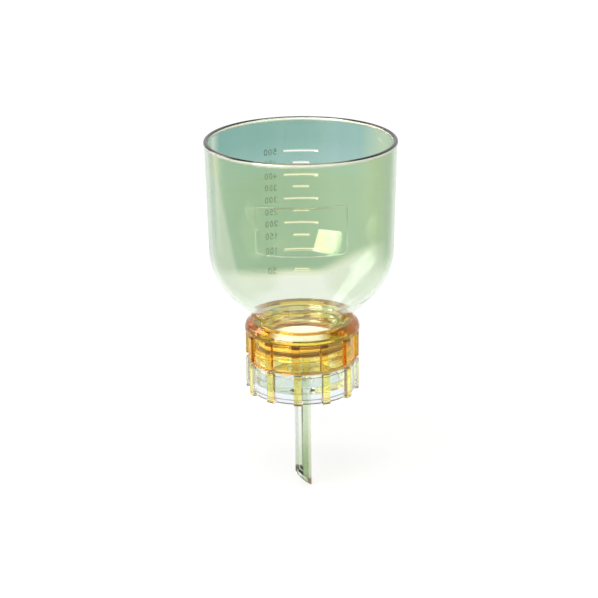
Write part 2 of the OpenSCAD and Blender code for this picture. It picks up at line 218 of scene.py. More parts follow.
class RingSizes(bpy.types.PropertyGroup):
    """The amber lock ring"""
    foot_z: length("Foot", "Lower face", RING_LOW.z)
    top_z: length("Top", "Upper face", RING_HIGH.z)
    crest_r: length("Bore", "Radius over the thread's crest", 26.3 * MM)
    wall: length("Wall", "Wall behind the thread", 1.9 * MM)
    bead_out: length("Foot bead", "How far the foot bead stands out", 0.4 * MM)
    bead_h: length("Foot bead height", "Height of the foot bead", 1.9 * MM)
    shoulder_r: length("Shoulder", "Radius of the shoulder", 31.2 * MM)
    shoulder_h: length("Shoulder height", "Height of the shoulder", 5.8 * MM)
    shoulder_edge: length("Shoulder edge", "Height of the shoulder's upright edge", 2.0 * MM)
    lean: length("Lean", "How far the shoulder leans in below its bevel", 0.8 * MM)
    bevel_h: length("Bevel height", "Height of the bevel", 2.0 * MM)
    bevel_in: length("Bevel", "From the shoulder's edge in to the top face", 3.4 * MM)
    lip_r: length("Lip", "Inner radius of the lip over the flange", 24.2 * MM)
    lip_t: length("Lip thickness", "Thickness of the lip", 3.2 * MM)
    relief_z: length("Thread relief", "Where the bore steps in above the thread", 31.2 * MM)


class BaseSizes(bpy.types.PropertyGroup):
    """The ribbed base with its cup and outlet stem"""
    collar_z: length("Collar top", "Top of the collar", BASE_HIGH.z)
    collar_r: length("Collar", "Outer radius of the collar, at the thread's root", 26.0 * MM)
    recess_r: length("Recess", "Radius of the recess for the membrane", 23.8 * MM)
    seat_z: length("Seat", "Seat of the support screen", SCREEN_LOW.z)
    cup_r: length("Cup", "Inner radius of the cup under the screen", 20.8 * MM)
    floor_z: length("Cup floor", "Cup floor at the outlet", 6.0 * MM)
    fall: length("Fall", "How much higher the cup floor is at its wall", 1.2 * MM)
    under_z: length("Cup underside", "Underside of the cup", 4.5 * MM)
    skirt_h: length("Skirt", "Height of the skirt", 16.8 * MM)
    web_t: length("Web", "Thickness of the web between collar and skirt", 2.0 * MM)
    skirt_in_r: length("Skirt inside", "Inner radius of the skirt", 27.4 * MM)
    skirt_r: length("Skirt outside", "Outer radius of the skirt", 28.8 * MM)
    foot_r: length("Foot", "Outer radius of the skirt's foot", 28.3 * MM)
    foot_h: length("Foot height", "Height of the skirt's foot", 2.4 * MM)
    groove_r: length("Seal groove", "Middle radius of the seal groove", 22.3 * MM)
    groove_w: length("Groove width", "Width of the seal groove", 1.8 * MM)
    groove_d: length("Groove depth", "Depth of the seal groove", 1.7 * MM)
    stem_r: length("Stem", "Radius of the outlet stem", STEM_R)
    bore_r: length("Bore", "Radius of the stem's bore", 3.0 * MM)
    tip_z: length("Tip", "Lowest point of the stem", BASE_LOW.z)
    tip_angle: FloatProperty(name="Tip angle", description="Slant of the stem's cut", subtype="ANGLE",
                             default=CUT_ANGLE)


class FinishColours(bpy.types.PropertyGroup):
    """Tints of the clear mouldings and colours of the rest"""
    # Painted light: the bowl's tints, apart from its depth, stand in for the light that its walls let
    # through. The plastic itself is one even tint, and the outline strips are painted shade.
    bowl_back: colour("Bowl, back", "What the back wall lets through", (0.236, 0.423, 0.382))
    bowl_back_pale: colour("Bowl, back right", "The paler part of the back wall", (0.37, 0.556, 0.54))
    bowl_front: colour("Bowl, front", "What the front wall lets through", (0.96, 0.95, 0.67))
    bowl_side: colour("Bowl, left", "What the left of the bowl lets through", (0.56, 0.66, 0.56))
    bowl_edge: colour("Bowl, right edge", "What the right side lets through", (0.55, 0.66, 0.48))
    bowl_outline: colour("Bowl, outline", "What the sides' outermost strips let through", (0.44, 0.57, 0.42))
    bowl_edge_left: colour("Bowl, left edge", "What the left side lets through", (0.70, 0.75, 0.66))
    bowl_low: colour("Bowl, below", "What the bend under the waist lets through", (0.89, 0.92, 0.83))
    bowl_warm: colour("Bowl, warmth", "A tint over the back wall below its top", (1.0, 0.98, 0.90))
    bowl_depth: colour("Bowl, depth", "What the bowl's body lets through", (0.72, 0.88, 0.68))
    # Painted highlight: the marks are clear plastic, and their white stands in for the light that they catch.
    mark: colour("Marks", "The raised marks", (1.0, 1.0, 0.94))
    # Painted highlight on the panel's lower edge and painted shade on its upper edge.
    panel_light: colour("Panel, light", "The light lower edge of the panel", (0.92, 0.95, 0.80))
    panel_dark: colour("Panel, dark", "The dark upper edge of the panel", (0.42, 0.50, 0.36))
    number: colour("Numbers", "The raised numbers", (0.52, 0.56, 0.44))
    number_depth: colour("Numbers, depth", "What the numbers' body lets through", (0.9, 0.95, 0.85))
    # Painted highlight on the sides of the rim bead.
    rim_band: colour("Rim band", "The light sides of the rim bead", (1.0, 1.0, 0.90))
    # Painted shade: a dark line under the rim bead.
    rim_line: colour("Rim line", "The dark line under the rim bead", (0.55, 0.60, 0.42))
    # Painted shade: the dark top of the rim bead stands in for the dark surroundings that it refracts.
    rim_crown: colour("Rim crown", "The dark top of the rim bead", (0.004, 0.005, 0.004))
    ring_wall: colour("Ring wall", "What the ring's surface lets through", (1.0, 0.90, 0.58))
    ring_shoulder: colour("Ring shoulder", "The ring's shoulder and lip", (1.0, 0.78, 0.40))
    # Painted shade on the shoulder at the right and the left.
    ring_side: colour("Ring sides", "The shoulder at the right and the left", (0.40, 0.37, 0.11))
    # Painted shade round the foot of the throat, inside the lock ring.
    throat_band: colour("Throat band", "The dark band round the foot of the throat", (0.17, 0.06, 0.015))
    # Painted highlight: a light band on the front of the bevel that stands in for a lamp's reflection.
    ring_light: colour("Ring highlight", "The light band on the front of the ring's bevel", (1.0, 0.97, 0.86))
    # Painted shade: a dark line under the overhanging shoulder.
    ring_line: colour("Ring line", "The dark line under the ring's shoulder", (0.09, 0.05, 0.018))
    ring_gloss: colour("Ring gloss", "The tint of the ring's own reflections", (1.0, 0.76, 0.40))
    # Painted shade on the ring's rib flanks and on its top edge at the back.
    ring_edge: colour("Ring edges", "The ring's rib flanks and its top edge at the back", (0.50, 0.44, 0.16))
    ring_foot: colour("Ring foot", "The ring's foot bead", (0.50, 0.22, 0.06))
    ring_depth: colour("Ring, depth", "What the ring's body lets through", (0.965, 0.845, 0.0))
    ring_rib: colour("Ring ribs", "What the ring's ribs let through", (0.94, 0.68, 0.26))
    # Painted shade where the ribs meet the shoulder above them.
    ring_rib_top: colour("Ring rib tops", "Where the ring's ribs meet its shoulder", (0.12, 0.025, 0.01))
    base_body: colour("Base body", "What the base's cup and collar let through", (0.91, 0.95, 0.94))
    base_skirt: colour("Base skirt", "What the base's skirt lets through", (0.86, 0.91, 0.98))
    # Painted reflection: the ribs' yellow stands in for amber light from the lock ring.
    base_rib: colour("Base ribs", "What the base's ribs let through", (1.0, 0.81, 0.11))
    # Painted shade on the flanks of the base's ribs.
    base_edge: colour("Base edges", "The flanks of the base's ribs", (0.17, 0.11, 0.055))
    base_depth: colour("Base, depth", "What the base's body lets through", (0.93, 0.96, 0.62))
    # Painted shade: dark lines round the foot of the skirt.
    base_line: colour("Base lines", "The dark lines round the foot of the base's skirt", (0.22, 0.20, 0.14))
    # Painted shade on the crest of the base's thread, inside the lock ring.
    base_thread: colour("Base thread", "The crest of the base's thread", (0.20, 0.10, 0.06))
    # Painted light on the stem: its right half is painted shade and its left half painted lit, both darker
    # towards the tip.
    stem_green: colour("Stem", "The right half of the stem", (0.78, 0.845, 0.71))
    stem_tip: colour("Stem, tip, right", "The right half of the stem's end", (0.55, 0.65, 0.46))
    stem_left: colour("Stem, left", "The left half of the stem", (0.88, 0.90, 0.86))
    stem_tip_left: colour("Stem, tip, left", "The left half of the stem's end", (0.70, 0.79, 0.63))
    stem_cut: colour("Stem cut", "The stem's slanted end", (0.34, 0.40, 0.31))
    stem_point: colour("Stem point", "The brown point of the stem", (0.22, 0.12, 0.08))
    # Painted shade: a dark line where the bore shows through, also used for the stem's left outline.
    stem_line: colour("Stem line", "The dark line in the middle of the stem", (0.10, 0.13, 0.09))
    stem_mark: colour("Stem marks", "The two small dark marks above the stem's cut", (0.01, 0.01, 0.006))
    silicone: colour("Silicone", "The two seals", (0.24, 0.07, 0.02))
    screen: colour("Screen", "The support screen", (0.80, 0.80, 0.76))
    membrane: colour("Membrane", "The membrane filter", (0.93, 0.93, 0.92))
    floor: colour("Floor", "The floor under the unit", (0.80, 0.80, 0.80))


class FilterUnit(bpy.types.PropertyGroup):
    """All values of the unit"""
    funnel: PointerProperty(type=FunnelSizes)
    thread: PointerProperty(type=ThreadSizes)
    grip: PointerProperty(type=GripSizes)
    ring: PointerProperty(type=RingSizes)
    base: PointerProperty(type=BaseSizes)
    finish: PointerProperty(type=FinishColours)


# ---------------------------------------------------------------- outlines and surfaces

def softened(corners, first=0, last=None):
    """An open outline in the (radius, height) plane with its inner corners turned into arcs.

    corners is a list of (radius, height, rounding) or (radius, height, rounding, steps). With the unit
    vectors u and v from a corner to its neighbours and h half the angle between them, the arc of radius q
    has its centre at the corner + (u + v) / |u + v| * q / sin h, and starts at the distance q / tan h.
    Returns the points from first to last and, beside each, the side of the outline that lies to the right
    of its direction.
    """
    xy = np.array([c[:2] for c in corners], float)
    leg = np.diff(xy, axis=0)
    leg /= np.linalg.norm(leg, axis=1)[:, None]
    side = np.stack([leg[:, 1], -leg[:, 0]], axis=1)
    points = [xy[:1]]
    sides = [side[:1]]
    for k in range(1, len(corners) - 1):
        steps = corners[k][3] if len(corners[k]) > 3 else ARC_STEPS
        share = np.linspace(0.0, 1.0, steps + 1)[:, None]
        turn = math.acos(float(np.clip(np.dot(side[k - 1], side[k]), -1.0, 1.0)))
        fan = (np.sin((1.0 - share) * turn) * side[k - 1] + np.sin(share * turn) * side[k]) / math.sin(turn)
        bulge = np.sign(leg[k - 1][0] * leg[k][1] - leg[k - 1][1] * leg[k][0])
        inward = -(side[k - 1] + side[k])
        inward /= np.linalg.norm(inward)
        centre = xy[k] + bulge * inward * corners[k][2] / math.cos(turn / 2.0)
        points.append(centre + bulge * corners[k][2] * fan)
        sides.append(fan)
    points.append(xy[-1:])
    sides.append(side[-1:])
    return np.concatenate(points)[first:last], np.concatenate(sides)[first:last]


def around(r, angle, z):
    """Places (r cos a, r sin a, z) about the axis, from numbers and arrays that fit together."""
    return np.stack(np.broadcast_arrays(r * np.cos(angle), r * np.sin(angle), z), axis=-1)


def turned(outline, angles):
    """A surface of revolution: each point (r, z) of the outline is carried round, its side with it."""
    return tuple(around(pair[:, :1], angles, pair[:, 1:]) for pair in outline)


def grid_quads(rows, columns, first=0):
    """Corner numbers of a grid's faces, one way round, with the last column joined to the first."""
    at = first + np.arange(rows * columns).reshape(rows, columns)
    right = np.roll(at, -1, axis=1)
    return np.stack([at[:-1], right[:-1], right[1:], at[1:]], axis=2).reshape(-1, 4)


def joined_bands(bands):
    """Rows one above the other, as one grid that is closed round the axis but open at its two ends."""
    place = np.concatenate([band[0] for band in bands])
    normal = np.concatenate([band[1] for band in bands])
    return place.reshape(-1, 3), normal.reshape(-1, 3), grid_quads(*place.shape[:2])


def merged(*parts):
    """Several meshes as one, their corner numbers shifted past each other."""
    places, normals, quads = zip(*parts)
    starts = np.cumsum([0] + [len(place) for place in places[:-1]])
    quads = [part + start for part, start in zip(quads, starts)]
    return np.concatenate(places), np.concatenate(normals), np.concatenate(quads)


def spaced(values, least):
    """Sorted values without those that follow another one too closely."""
    return values[np.concatenate([[True], np.abs(np.diff(values)) > least])]


def angle_from(angle, zero):
    """How far an angle lies from another, between minus and plus half a turn."""
    return (angle - zero + math.pi) % FULL_TURN - math.pi


def new_piece(name, surface, body, material, replaced=None, marks=None):
    """One closed mesh from grids. Corners at the same place become one vertex, faces that shrink to a line
    go, and each corner keeps its own normal, so a flat stays flat beside its rounded edge. marks gives each
    vertex named values that its finish reads."""
    places, normals, quads = surface
    key = np.round(places / (1e-4 * MM)).astype(np.int64)
    _, kept, index = np.unique(key, axis=0, return_index=True, return_inverse=True)
    index = index.ravel()
    welded = index[quads]
    same = welded == np.roll(welded, -1, axis=1)
    four = same.sum(axis=1) == 0
    three = same.sum(axis=1) == 1
    corner_at = np.concatenate([quads[four].ravel(), quads[three][~same[three]]])
    sizes = np.concatenate([np.full(four.sum(), 4), np.full(three.sum(), 3)])
    mesh = bpy.data.meshes.new(name)
    mesh.vertices.add(len(kept))
    mesh.vertices.foreach_set("co", places[kept].astype(np.float32).ravel())
    mesh.loops.add(len(corner_at))
    mesh.loops.foreach_set("vertex_index", index[corner_at].astype(np.int32))
    mesh.polygons.add(len(sizes))
    mesh.polygons.foreach_set("loop_start", np.concatenate([[0], np.cumsum(sizes)[:-1]]).astype(np.int32))
    mesh.update(calc_edges=True)
    mesh.validate()
    mesh.shade_smooth()
    mesh.normals_split_custom_set(normals[corner_at].tolist())
    for mark, values in (marks or {}).items():
        layer = mesh.attributes.new(mark, "FLOAT", "POINT")
        layer.data.foreach_set("value", values[kept].astype(np.float32))
    piece = bpy.data.objects.new(name, mesh)
    bpy.context.scene.collection.objects.link(piece)
    mesh.materials.append(material)
    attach(piece, body)
    if replaced:
        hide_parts(replaced)
    return piece


def eased(x):
    """A smooth step: 3x2 - 2x3 of x held between 0 and 1."""
    x = np.clip(x, 0.0, 1.0)
    return x * x * (3.0 - 2.0 * x)


# ---------------------------------------------------------------- the bowl

class Bowl:
    """The bowl's outer and inner radius at a height: a cone at 45 degrees, a tangent arc and a slightly
    tapered wall. r = waist + taper * (z - waist_z) / wall_height, then centre + sqrt(bend2 - (waist_z - z)2),
    then neck + (z - flange_top)."""

    def __init__(self, s):
        diagonal = math.sqrt(0.5)
        self.s = s
        self.top_r = FUNNEL_HIGH.x - s.rim_lip
        self.waist_r = self.top_r - s.taper
        self.waist_z = s.rim_z - s.wall_height
        self.centre_r = self.waist_r - s.bend
        self.slope = s.taper / s.wall_height
        self.flange_top = s.plug_z + s.plug_h + s.flange_t
        self.bend_end_z = self.waist_z - s.bend * diagonal
        self.inner_bend = s.bend - s.wall
        self.inner_end_z = self.waist_z - self.inner_bend * diagonal
        self.inner_end_r = self.centre_r + self.inner_bend * diagonal
        self.throat_top = self.inner_end_z - (self.inner_end_r - s.throat_r)

    def outside(self, z):
        arc = self.centre_r + np.sqrt(np.maximum(self.s.bend ** 2 - (self.waist_z - z) ** 2, 0.0))
        cone = self.s.neck_r + z - self.flange_top
        wall = self.waist_r + self.slope * (z - self.waist_z)
        return np.where(z >= self.waist_z, wall, np.where(z >= self.bend_end_z, arc, cone))

    def inside(self, z):
        arc = self.centre_r + np.sqrt(np.maximum(self.inner_bend ** 2 - (self.waist_z - z) ** 2, 0.0))
        cone = np.maximum(self.s.throat_r, self.s.throat_r + z - self.throat_top)
        wall = self.waist_r + self.slope * (z - self.waist_z) - self.s.wall
        return np.where(z >= self.waist_z, wall, np.where(z >= self.inner_end_z, arc, cone))

    def marks(self):
        """Height, number and half angle of each mark. The volume up to z is the sum of pi r2 dz."""
        z = np.linspace(MEMBRANE_HIGH.z, self.s.rim_z, VOLUME_SLICES)
        slices = math.pi * self.inside((z[1:] + z[:-1]) / 2.0) ** 2 * np.diff(z)
        millilitres = np.concatenate([[0.0], np.cumsum(slices)]) * 1e6
        number = np.arange(1, self.s.mark_count + 1) * self.s.mark_step
        height = np.interp(number, millilitres, z)
        reach = np.where(np.arange(1, self.s.mark_count + 1) % 2 == 0, self.s.long_mark, self.s.short_mark)
        return height, number, reach / 2.0 / self.outside(height)

    def mark_relief(self, angle, z, wider=0.0, shift=0.0):
        """A mark is a ridge with sloped sides and ends, 0 at its foot and 1 on its top. Wider adds to its
        width all round, and shift to its height."""
        s = self.s
        height, _, half = self.marks()
        across = (s.mark_h / 2.0 + wider - np.abs(z[..., None] - height - shift)) / (MARK_SLOPE * s.mark_h)
        reach = half - np.abs(angle_from(angle[..., None], BACK))
        along = (reach * self.outside(height) + wider) / MARK_END
        return (eased(across) * eased(along)).max(axis=-1)

    def relief(self, angle, z):
        """How far marks and panel stand out at an angle round the axis and a height. The panel is a plate
        whose edge follows the distance from a rounded rectangle: |max(d, 0)| + min(max(dx, dz), 0), with
        d = (dx, dz) the distances beyond the corner circles' middles."""
        s = self.s
        marks = self.mark_relief(angle, z)
        from_front = angle_from(angle, FRONT)
        sideways = np.where(np.abs(from_front) < PANEL_REACH, np.sin(from_front), 1.0) * self.outside(z)
        middle = self.waist_z + s.panel_up
        dx = np.abs(sideways) - s.panel_w / 2.0 + s.panel_corner
        dz = np.abs(z - middle) - s.panel_h / 2.0 + s.panel_corner
        edge = np.hypot(np.maximum(dx, 0.0), np.maximum(dz, 0.0)) + np.minimum(np.maximum(dx, dz), 0.0)
        inward = s.panel_corner - edge
        panel = eased(inward / PANEL_EDGE)
        line = eased(1.3 - np.abs(inward - PANEL_LINE[0]) / PANEL_LINE[1])
        return marks, panel, line

    def raised(self, angle, z):
        """Marks and panel together, in metres."""
        marks, panel, _ = self.relief(angle, z)
        return self.s.relief * np.maximum(marks, panel)


def bowl_rows(bowl):
    """Heights of the outer wall's rows: even steps, with more across each mark and each panel edge."""
    s = bowl.s
    height, _, _ = bowl.marks()
    middle = bowl.waist_z + s.panel_up
    edges = np.array([middle - s.panel_h / 2.0, middle + s.panel_h / 2.0])
    inward = np.array([1.0, -1.0])
    steps = 0.5 - MARK_SLOPE * np.array([0.0, 0.33, 0.67, 1.0])
    near_mark = height[:, None] + s.mark_h * np.concatenate([-steps, steps])
    near_edge = edges[:, None] + inward[:, None] * PANEL_STEPS
    cone = np.linspace(bowl.flange_top + 0.5 * MM, bowl.bend_end_z, 6)
    bend = bowl.waist_z - s.bend * np.sin(np.linspace(math.pi / 4.0, 0.0, 22))
    wall = np.linspace(bowl.waist_z, s.rim_z - 2.5 * MM, 20)
    rows = np.unique(np.round(np.concatenate([cone, bend, wall, near_mark.ravel(), near_edge.ravel()]), 7))
    return spaced(rows, 0.04 * MM)


def bowl_columns(bowl):
    """Angles of the columns: even steps, with more at the ends of the marks and the sides of the panel."""
    s = bowl.s
    _, _, half = bowl.marks()
    even = np.arange(BOWL_COLUMNS) * FULL_TURN / BOWL_COLUMNS
    out = np.array([0.0, 0.1, 0.2, 0.3]) * MM / bowl.top_r
    ends = (np.unique(np.round(half, 6))[:, None] - out).ravel()
    side = s.panel_w / 2.0 - PANEL_STEPS
    side = np.arcsin(side / bowl.outside(np.array(bowl.waist_z + s.panel_up)))
    angles = np.concatenate([even, BACK + ends, BACK - ends, FRONT + side, FRONT - side]) % FULL_TURN
    return spaced(np.unique(np.round(angles, 6)), 3e-4)


def funnel_wall(bowl, rows, angles):
    """The outer wall with its relief. With r(a, z) the radius, its normal is (1, -dr/da / r, -dr/dz), turned
    with the angle and brought to the length 1."""
    z, a = np.meshgrid(rows, angles, indexing="ij")
    r = bowl.outside(z) + bowl.raised(a, z)
    slope_z = (bowl.outside(z + NUDGE) + bowl.raised(a, z + NUDGE)
               - bowl.outside(z - NUDGE) - bowl.raised(a, z - NUDGE)) / (2.0 * NUDGE)
    slope_a = (bowl.raised(a + NUDGE / r, z) - bowl.raised(a - NUDGE / r, z)) / (2.0 * NUDGE)
    steep = np.sqrt(1.0 + slope_z ** 2 + slope_a ** 2)
    normal = np.stack([(np.cos(a) + slope_a * np.sin(a)) / steep,
                       (np.sin(a) - slope_a * np.cos(a)) / steep, -slope_z / steep], axis=2)
    return around(r, a, z), normal


def bowl_hollow(bowl, top_z):
    """Outline of the inner wall from top_z down to the throat, with more rows across each mark."""
    s = bowl.s
    half = s.mark_h / 2.0 + HALO
    across = np.array([-half, HALO_STEP - half, half - HALO_STEP, half])
    near_mark = bowl.marks()[0][:, None] + MARK_SHIFT + across
    down = np.concatenate([
        np.linspace(top_z, bowl.waist_z, 8)[:-1], near_mark.ravel(),
        bowl.waist_z - bowl.inner_bend * np.sin(np.linspace(0.0, math.pi / 4.0, 20)),
        np.linspace(bowl.inner_end_z, bowl.throat_top, 6)[1:]])
    down = spaced(np.sort(down[down <= top_z])[::-1], 0.02 * MM)
    tilt = (bowl.inside(down + NUDGE) - bowl.inside(down - NUDGE)) / (2.0 * NUDGE)
    tilt[-1] = tilt[-2]
    return (np.stack([bowl.inside(down), down], axis=1),
            np.stack([-1.0 / np.hypot(1.0, tilt), tilt / np.hypot(1.0, tilt)], axis=1))


def funnel_surface(s):
    """The whole funnel as one outline carried round the axis: plug, seal groove and flange, the outer wall
    with its relief, the rim bead and the inner wall."""
    bowl = Bowl(s)
    angles = bowl_columns(bowl)
    rows = bowl_rows(bowl)
    flange_z = s.plug_z + s.plug_h
    groove_in = TOP_SEAL_HIGH.x - TOP_GROOVE_IN
    groove_out = groove_in + TOP_GROOVE_W
    groove_z = TOP_SEAL_HIGH.z + SEAL_PLAY
    edge = 0.2 * MM
    foot = softened([
        (s.throat_r, bowl.throat_top, 0.0), (s.throat_r, s.plug_z, edge),
        (groove_in, s.plug_z, edge), (groove_in, groove_z, edge), (groove_out, groove_z, edge),
        (groove_out, s.plug_z, edge), (s.plug_r, s.plug_z, 0.5 * MM), (s.plug_r, flange_z, edge),
        (s.flange_r, flange_z, EDGE), (s.flange_r, bowl.flange_top, 0.4 * MM),
        (s.neck_r, bowl.flange_top, 0.5 * MM), (float(bowl.outside(rows[:1])[0]), rows[0], 0.0)], 1, -1)
    top = float(bowl.outside(rows[-1:])[0])
    bead_out, bead_in = min(FUNNEL_HIGH.x, FUNNEL_HIGH.y), bowl.top_r - s.wall - s.rim_lip
    bead_z, neck_z = s.rim_z - 1.75 * MM, s.rim_z - 2.2 * MM
    rim = softened([
        (top, rows[-1], 0.0), (top + NUDGE, neck_z, EDGE), (bead_out, bead_z, 0.9 * MM, 5),
        (bead_out, s.rim_z, 1.15 * MM, 8), (bead_in, s.rim_z, 1.15 * MM, 8), (bead_in, bead_z, 0.9 * MM, 5),
        (top - s.wall, neck_z, EDGE), (top - s.wall, rows[-1], 0.0)], 1, -1)
    hollow = bowl_hollow(bowl, rows[-1])
    throat = (np.array([[s.throat_r, bowl.throat_top]]), np.array([[-1.0, 0.0]]))
    surface = joined_bands([
        turned(foot, angles), funnel_wall(bowl, rows, angles), turned(rim, angles), turned(hollow, angles),
        turned(throat, angles), turned((foot[0][:1], foot[1][:1]), angles)])
    mark, panel = np.zeros((2, len(surface[0]) // len(angles), len(angles)))
    outer = slice(len(foot[0]), len(foot[0]) + len(rows))
    z, a = np.meshgrid(rows, angles, indexing="ij")
    # The panel values are the line along the panel's edge, where its painted shade and painted highlight lie.
    mark[outer], _, panel[outer] = bowl.relief(a, z)
    inner = slice(outer.stop + len(rim[0]), outer.stop + len(rim[0]) + len(hollow[0]))
    z, a = np.meshgrid(hollow[0][:, 1], angles, indexing="ij")
    # The inner wall has no marks. These values only place the painted highlight behind each mark.
    mark[inner] = bowl.mark_relief(a, z, HALO, MARK_SHIFT)
    return surface, {"mark": mark.ravel(), "panel": panel.ravel()}


# ---------------------------------------------------------------- the numbers

def arc(x, y, rx, ry, start, end, points=14):
    """Part of an ellipse about (x, y), from the angle start to end in degrees."""
    a = np.radians(np.linspace(start, end, points))
    return np.stack([x + rx * np.cos(a), y + ry * np.sin(a)], axis=1)


def digit_lines(digit):
    """The lines of one digit in a box one wide and one high, about its middle."""
    straight = {
        1: [[(-0.28, 0.25), (0.05, 0.5), (0.05, -0.5)]],
        4: [[(0.25, -0.5), (0.25, 0.5), (-0.45, -0.18), (0.5, -0.18)]],
    }
    if digit in straight:
        return [np.array(line) for line in straight[digit]]
    if digit == 0:
        return [arc(0.0, 0.0, 0.42, 0.5, 90, 450, 26)]
    if digit == 2:
        bow = arc(0.0, 0.2, 0.4, 0.3, 165, -35)
        return [np.concatenate([bow, [(-0.42, -0.5), (0.45, -0.5)]])]
    if digit == 3:
        return [np.concatenate([arc(0.0, 0.24, 0.38, 0.26, 150, -80), arc(0.0, -0.24, 0.42, 0.26, 80, -150)])]
    top_of_five = [(0.36, 0.5), (-0.32, 0.5), (-0.38, 0.06)]
    return [np.concatenate([top_of_five, arc(-0.02, -0.17, 0.42, 0.33, 140, -150)])]


def number_surface(s):
    """Raised numbers on the wall beside the marks, read from outside. Each line is a round bead: a circle
    carried along the line, path + half its width * (cos q * side + sin q * out), with a half ball at each
    end, where the circle shrinks with cos(lean) and moves on with sin(lean)."""
    bowl = Bowl(s)
    height, number, _ = bowl.marks()
    beads = []
    round_a = (np.arange(BEAD_SIDES) * FULL_TURN / BEAD_SIDES)[None, :, None]
    cap = np.radians([90.0, 60.0, 30.0, 0.0])
    for z0, value in zip(height, number):
        text = str(int(value))
        for k, character in enumerate(text):
            shift = (k - (len(text) - 1) / 2.0) * s.digit_step
            for line in digit_lines(int(character)):
                z = z0 + line[:, 1] * s.digit_h
                r = bowl.outside(z)
                a = BACK + (s.number_x + shift + line[:, 0] * s.digit_w) / r
                path = around(r, a, z)
                along = np.gradient(path, axis=0)
                along /= np.linalg.norm(along, axis=1)[:, None]
                side = np.cross(along, around(1.0, a, 0.0))
                side /= np.linalg.norm(side, axis=1)[:, None]
                out = np.cross(side, along)
                at = np.pad(np.arange(len(line)), len(cap), "edge")
                lean = np.concatenate([-cap, np.zeros(len(line)), cap[::-1]])[:, None, None]
                ring = np.cos(round_a) * side[at][:, None] + np.sin(round_a) * out[at][:, None]
                facing = np.cos(lean) * ring + np.sin(lean) * along[at][:, None]
                bead = joined_bands([(path[at][:, None] + s.digit_line / 2.0 * facing, facing)])
                beads.append((bead[0], bead[1], bead[2][:, ::-1]))
    return merged(*beads)


# ---------------------------------------------------------------- ribs and threads

def rib_plan(s, root_r, phase):
    """The ribbed outline seen from above, as angle, radius and outward direction of each column.

    Half a rib, from its middle to the middle of the gap: the grip circle, an arc of the rib's rounding that
    touches it inside, the straight flank, a small hollow arc, and the wall's circle. It is mirrored, then
    repeated round the axis."""
    half = s.width / 2.0
    corner_y = half - s.round
    corner_x = math.sqrt((s.grip_r - s.round) ** 2 - corner_y ** 2)
    lean = math.atan2(corner_y, corner_x)
    foot_y = half + HOLLOW
    foot_x = math.sqrt((root_r + HOLLOW) ** 2 - foot_y ** 2)
    foot_angle = math.atan2(foot_y, foot_x)
    arcs = (
        (0.0, 0.0, s.grip_r, 1.0, np.linspace(0.0, lean, 3)[:-1]),
        (corner_x, corner_y, s.round, 1.0, np.linspace(lean, math.pi / 2.0, 6)),
        (foot_x, foot_y, HOLLOW, -1.0, np.linspace(-math.pi / 2.0, foot_angle - math.pi, 4)),
        (0.0, 0.0, root_r, 1.0, np.linspace(foot_angle, math.pi / s.count, 6)[1:]))
    x = np.concatenate([middle + r * np.cos(a) for middle, _, r, _, a in arcs])
    y = np.concatenate([middle + r * np.sin(a) for _, middle, r, _, a in arcs])
    facing = np.concatenate([np.arctan2(way * np.sin(a), way * np.cos(a)) for _, _, _, way, a in arcs])
    angle, radius = np.arctan2(y, x), np.hypot(x, y)
    angle = np.concatenate([-angle[:0:-1], angle[:-1]])
    radius = np.concatenate([radius[:0:-1], radius[:-1]])
    facing = np.concatenate([-facing[:0:-1], facing[:-1]])
    turns = phase + np.arange(s.count)[:, None] * FULL_TURN / s.count
    return (turns + angle).ravel(), np.tile(radius, s.count), (turns + facing).ravel()


def ribbed_row(plan, z, shrink=0.0, tilt=0.0, least=0.0):
    """One row of a ribbed wall: the plan drawn in by shrink, no smaller than least, with its faces tilted
    up or down where a rib ends."""
    angle, radius, facing = plan
    root = radius.min()
    r = np.maximum(np.maximum(radius - shrink, root), least)
    on_rib = np.clip((radius - root) / (radius.max() - root), 0.0, 1.0) * (r > least)
    facing = np.where(r > radius + 1e-9, angle, facing)
    up = tilt * on_rib
    return around(r, angle, z)[None], around(np.sqrt(1.0 - up ** 2), facing, up)[None]


def level_row(plan, radius, z, up):
    """One row that lies level, with its faces looking straight up or down."""
    return around(radius, plan[0], z)[None], around(0.0, plan[0], up)[None]


def rib_end(plan, z, up, least=0.0):
    """Rows that round off the ends of the ribs: a quarter circle of the edge's radius, from the flank to the
    end face, upwards or downwards."""
    quarter = np.radians([0.0, 22.5, 45.0, 67.5, 90.0])[::int(up)]
    return [ribbed_row(plan, z - up * EDGE * (1.0 - math.sin(q)), EDGE * (1.0 - math.cos(q)),
                       up * math.sin(q), least) for q in quarter]


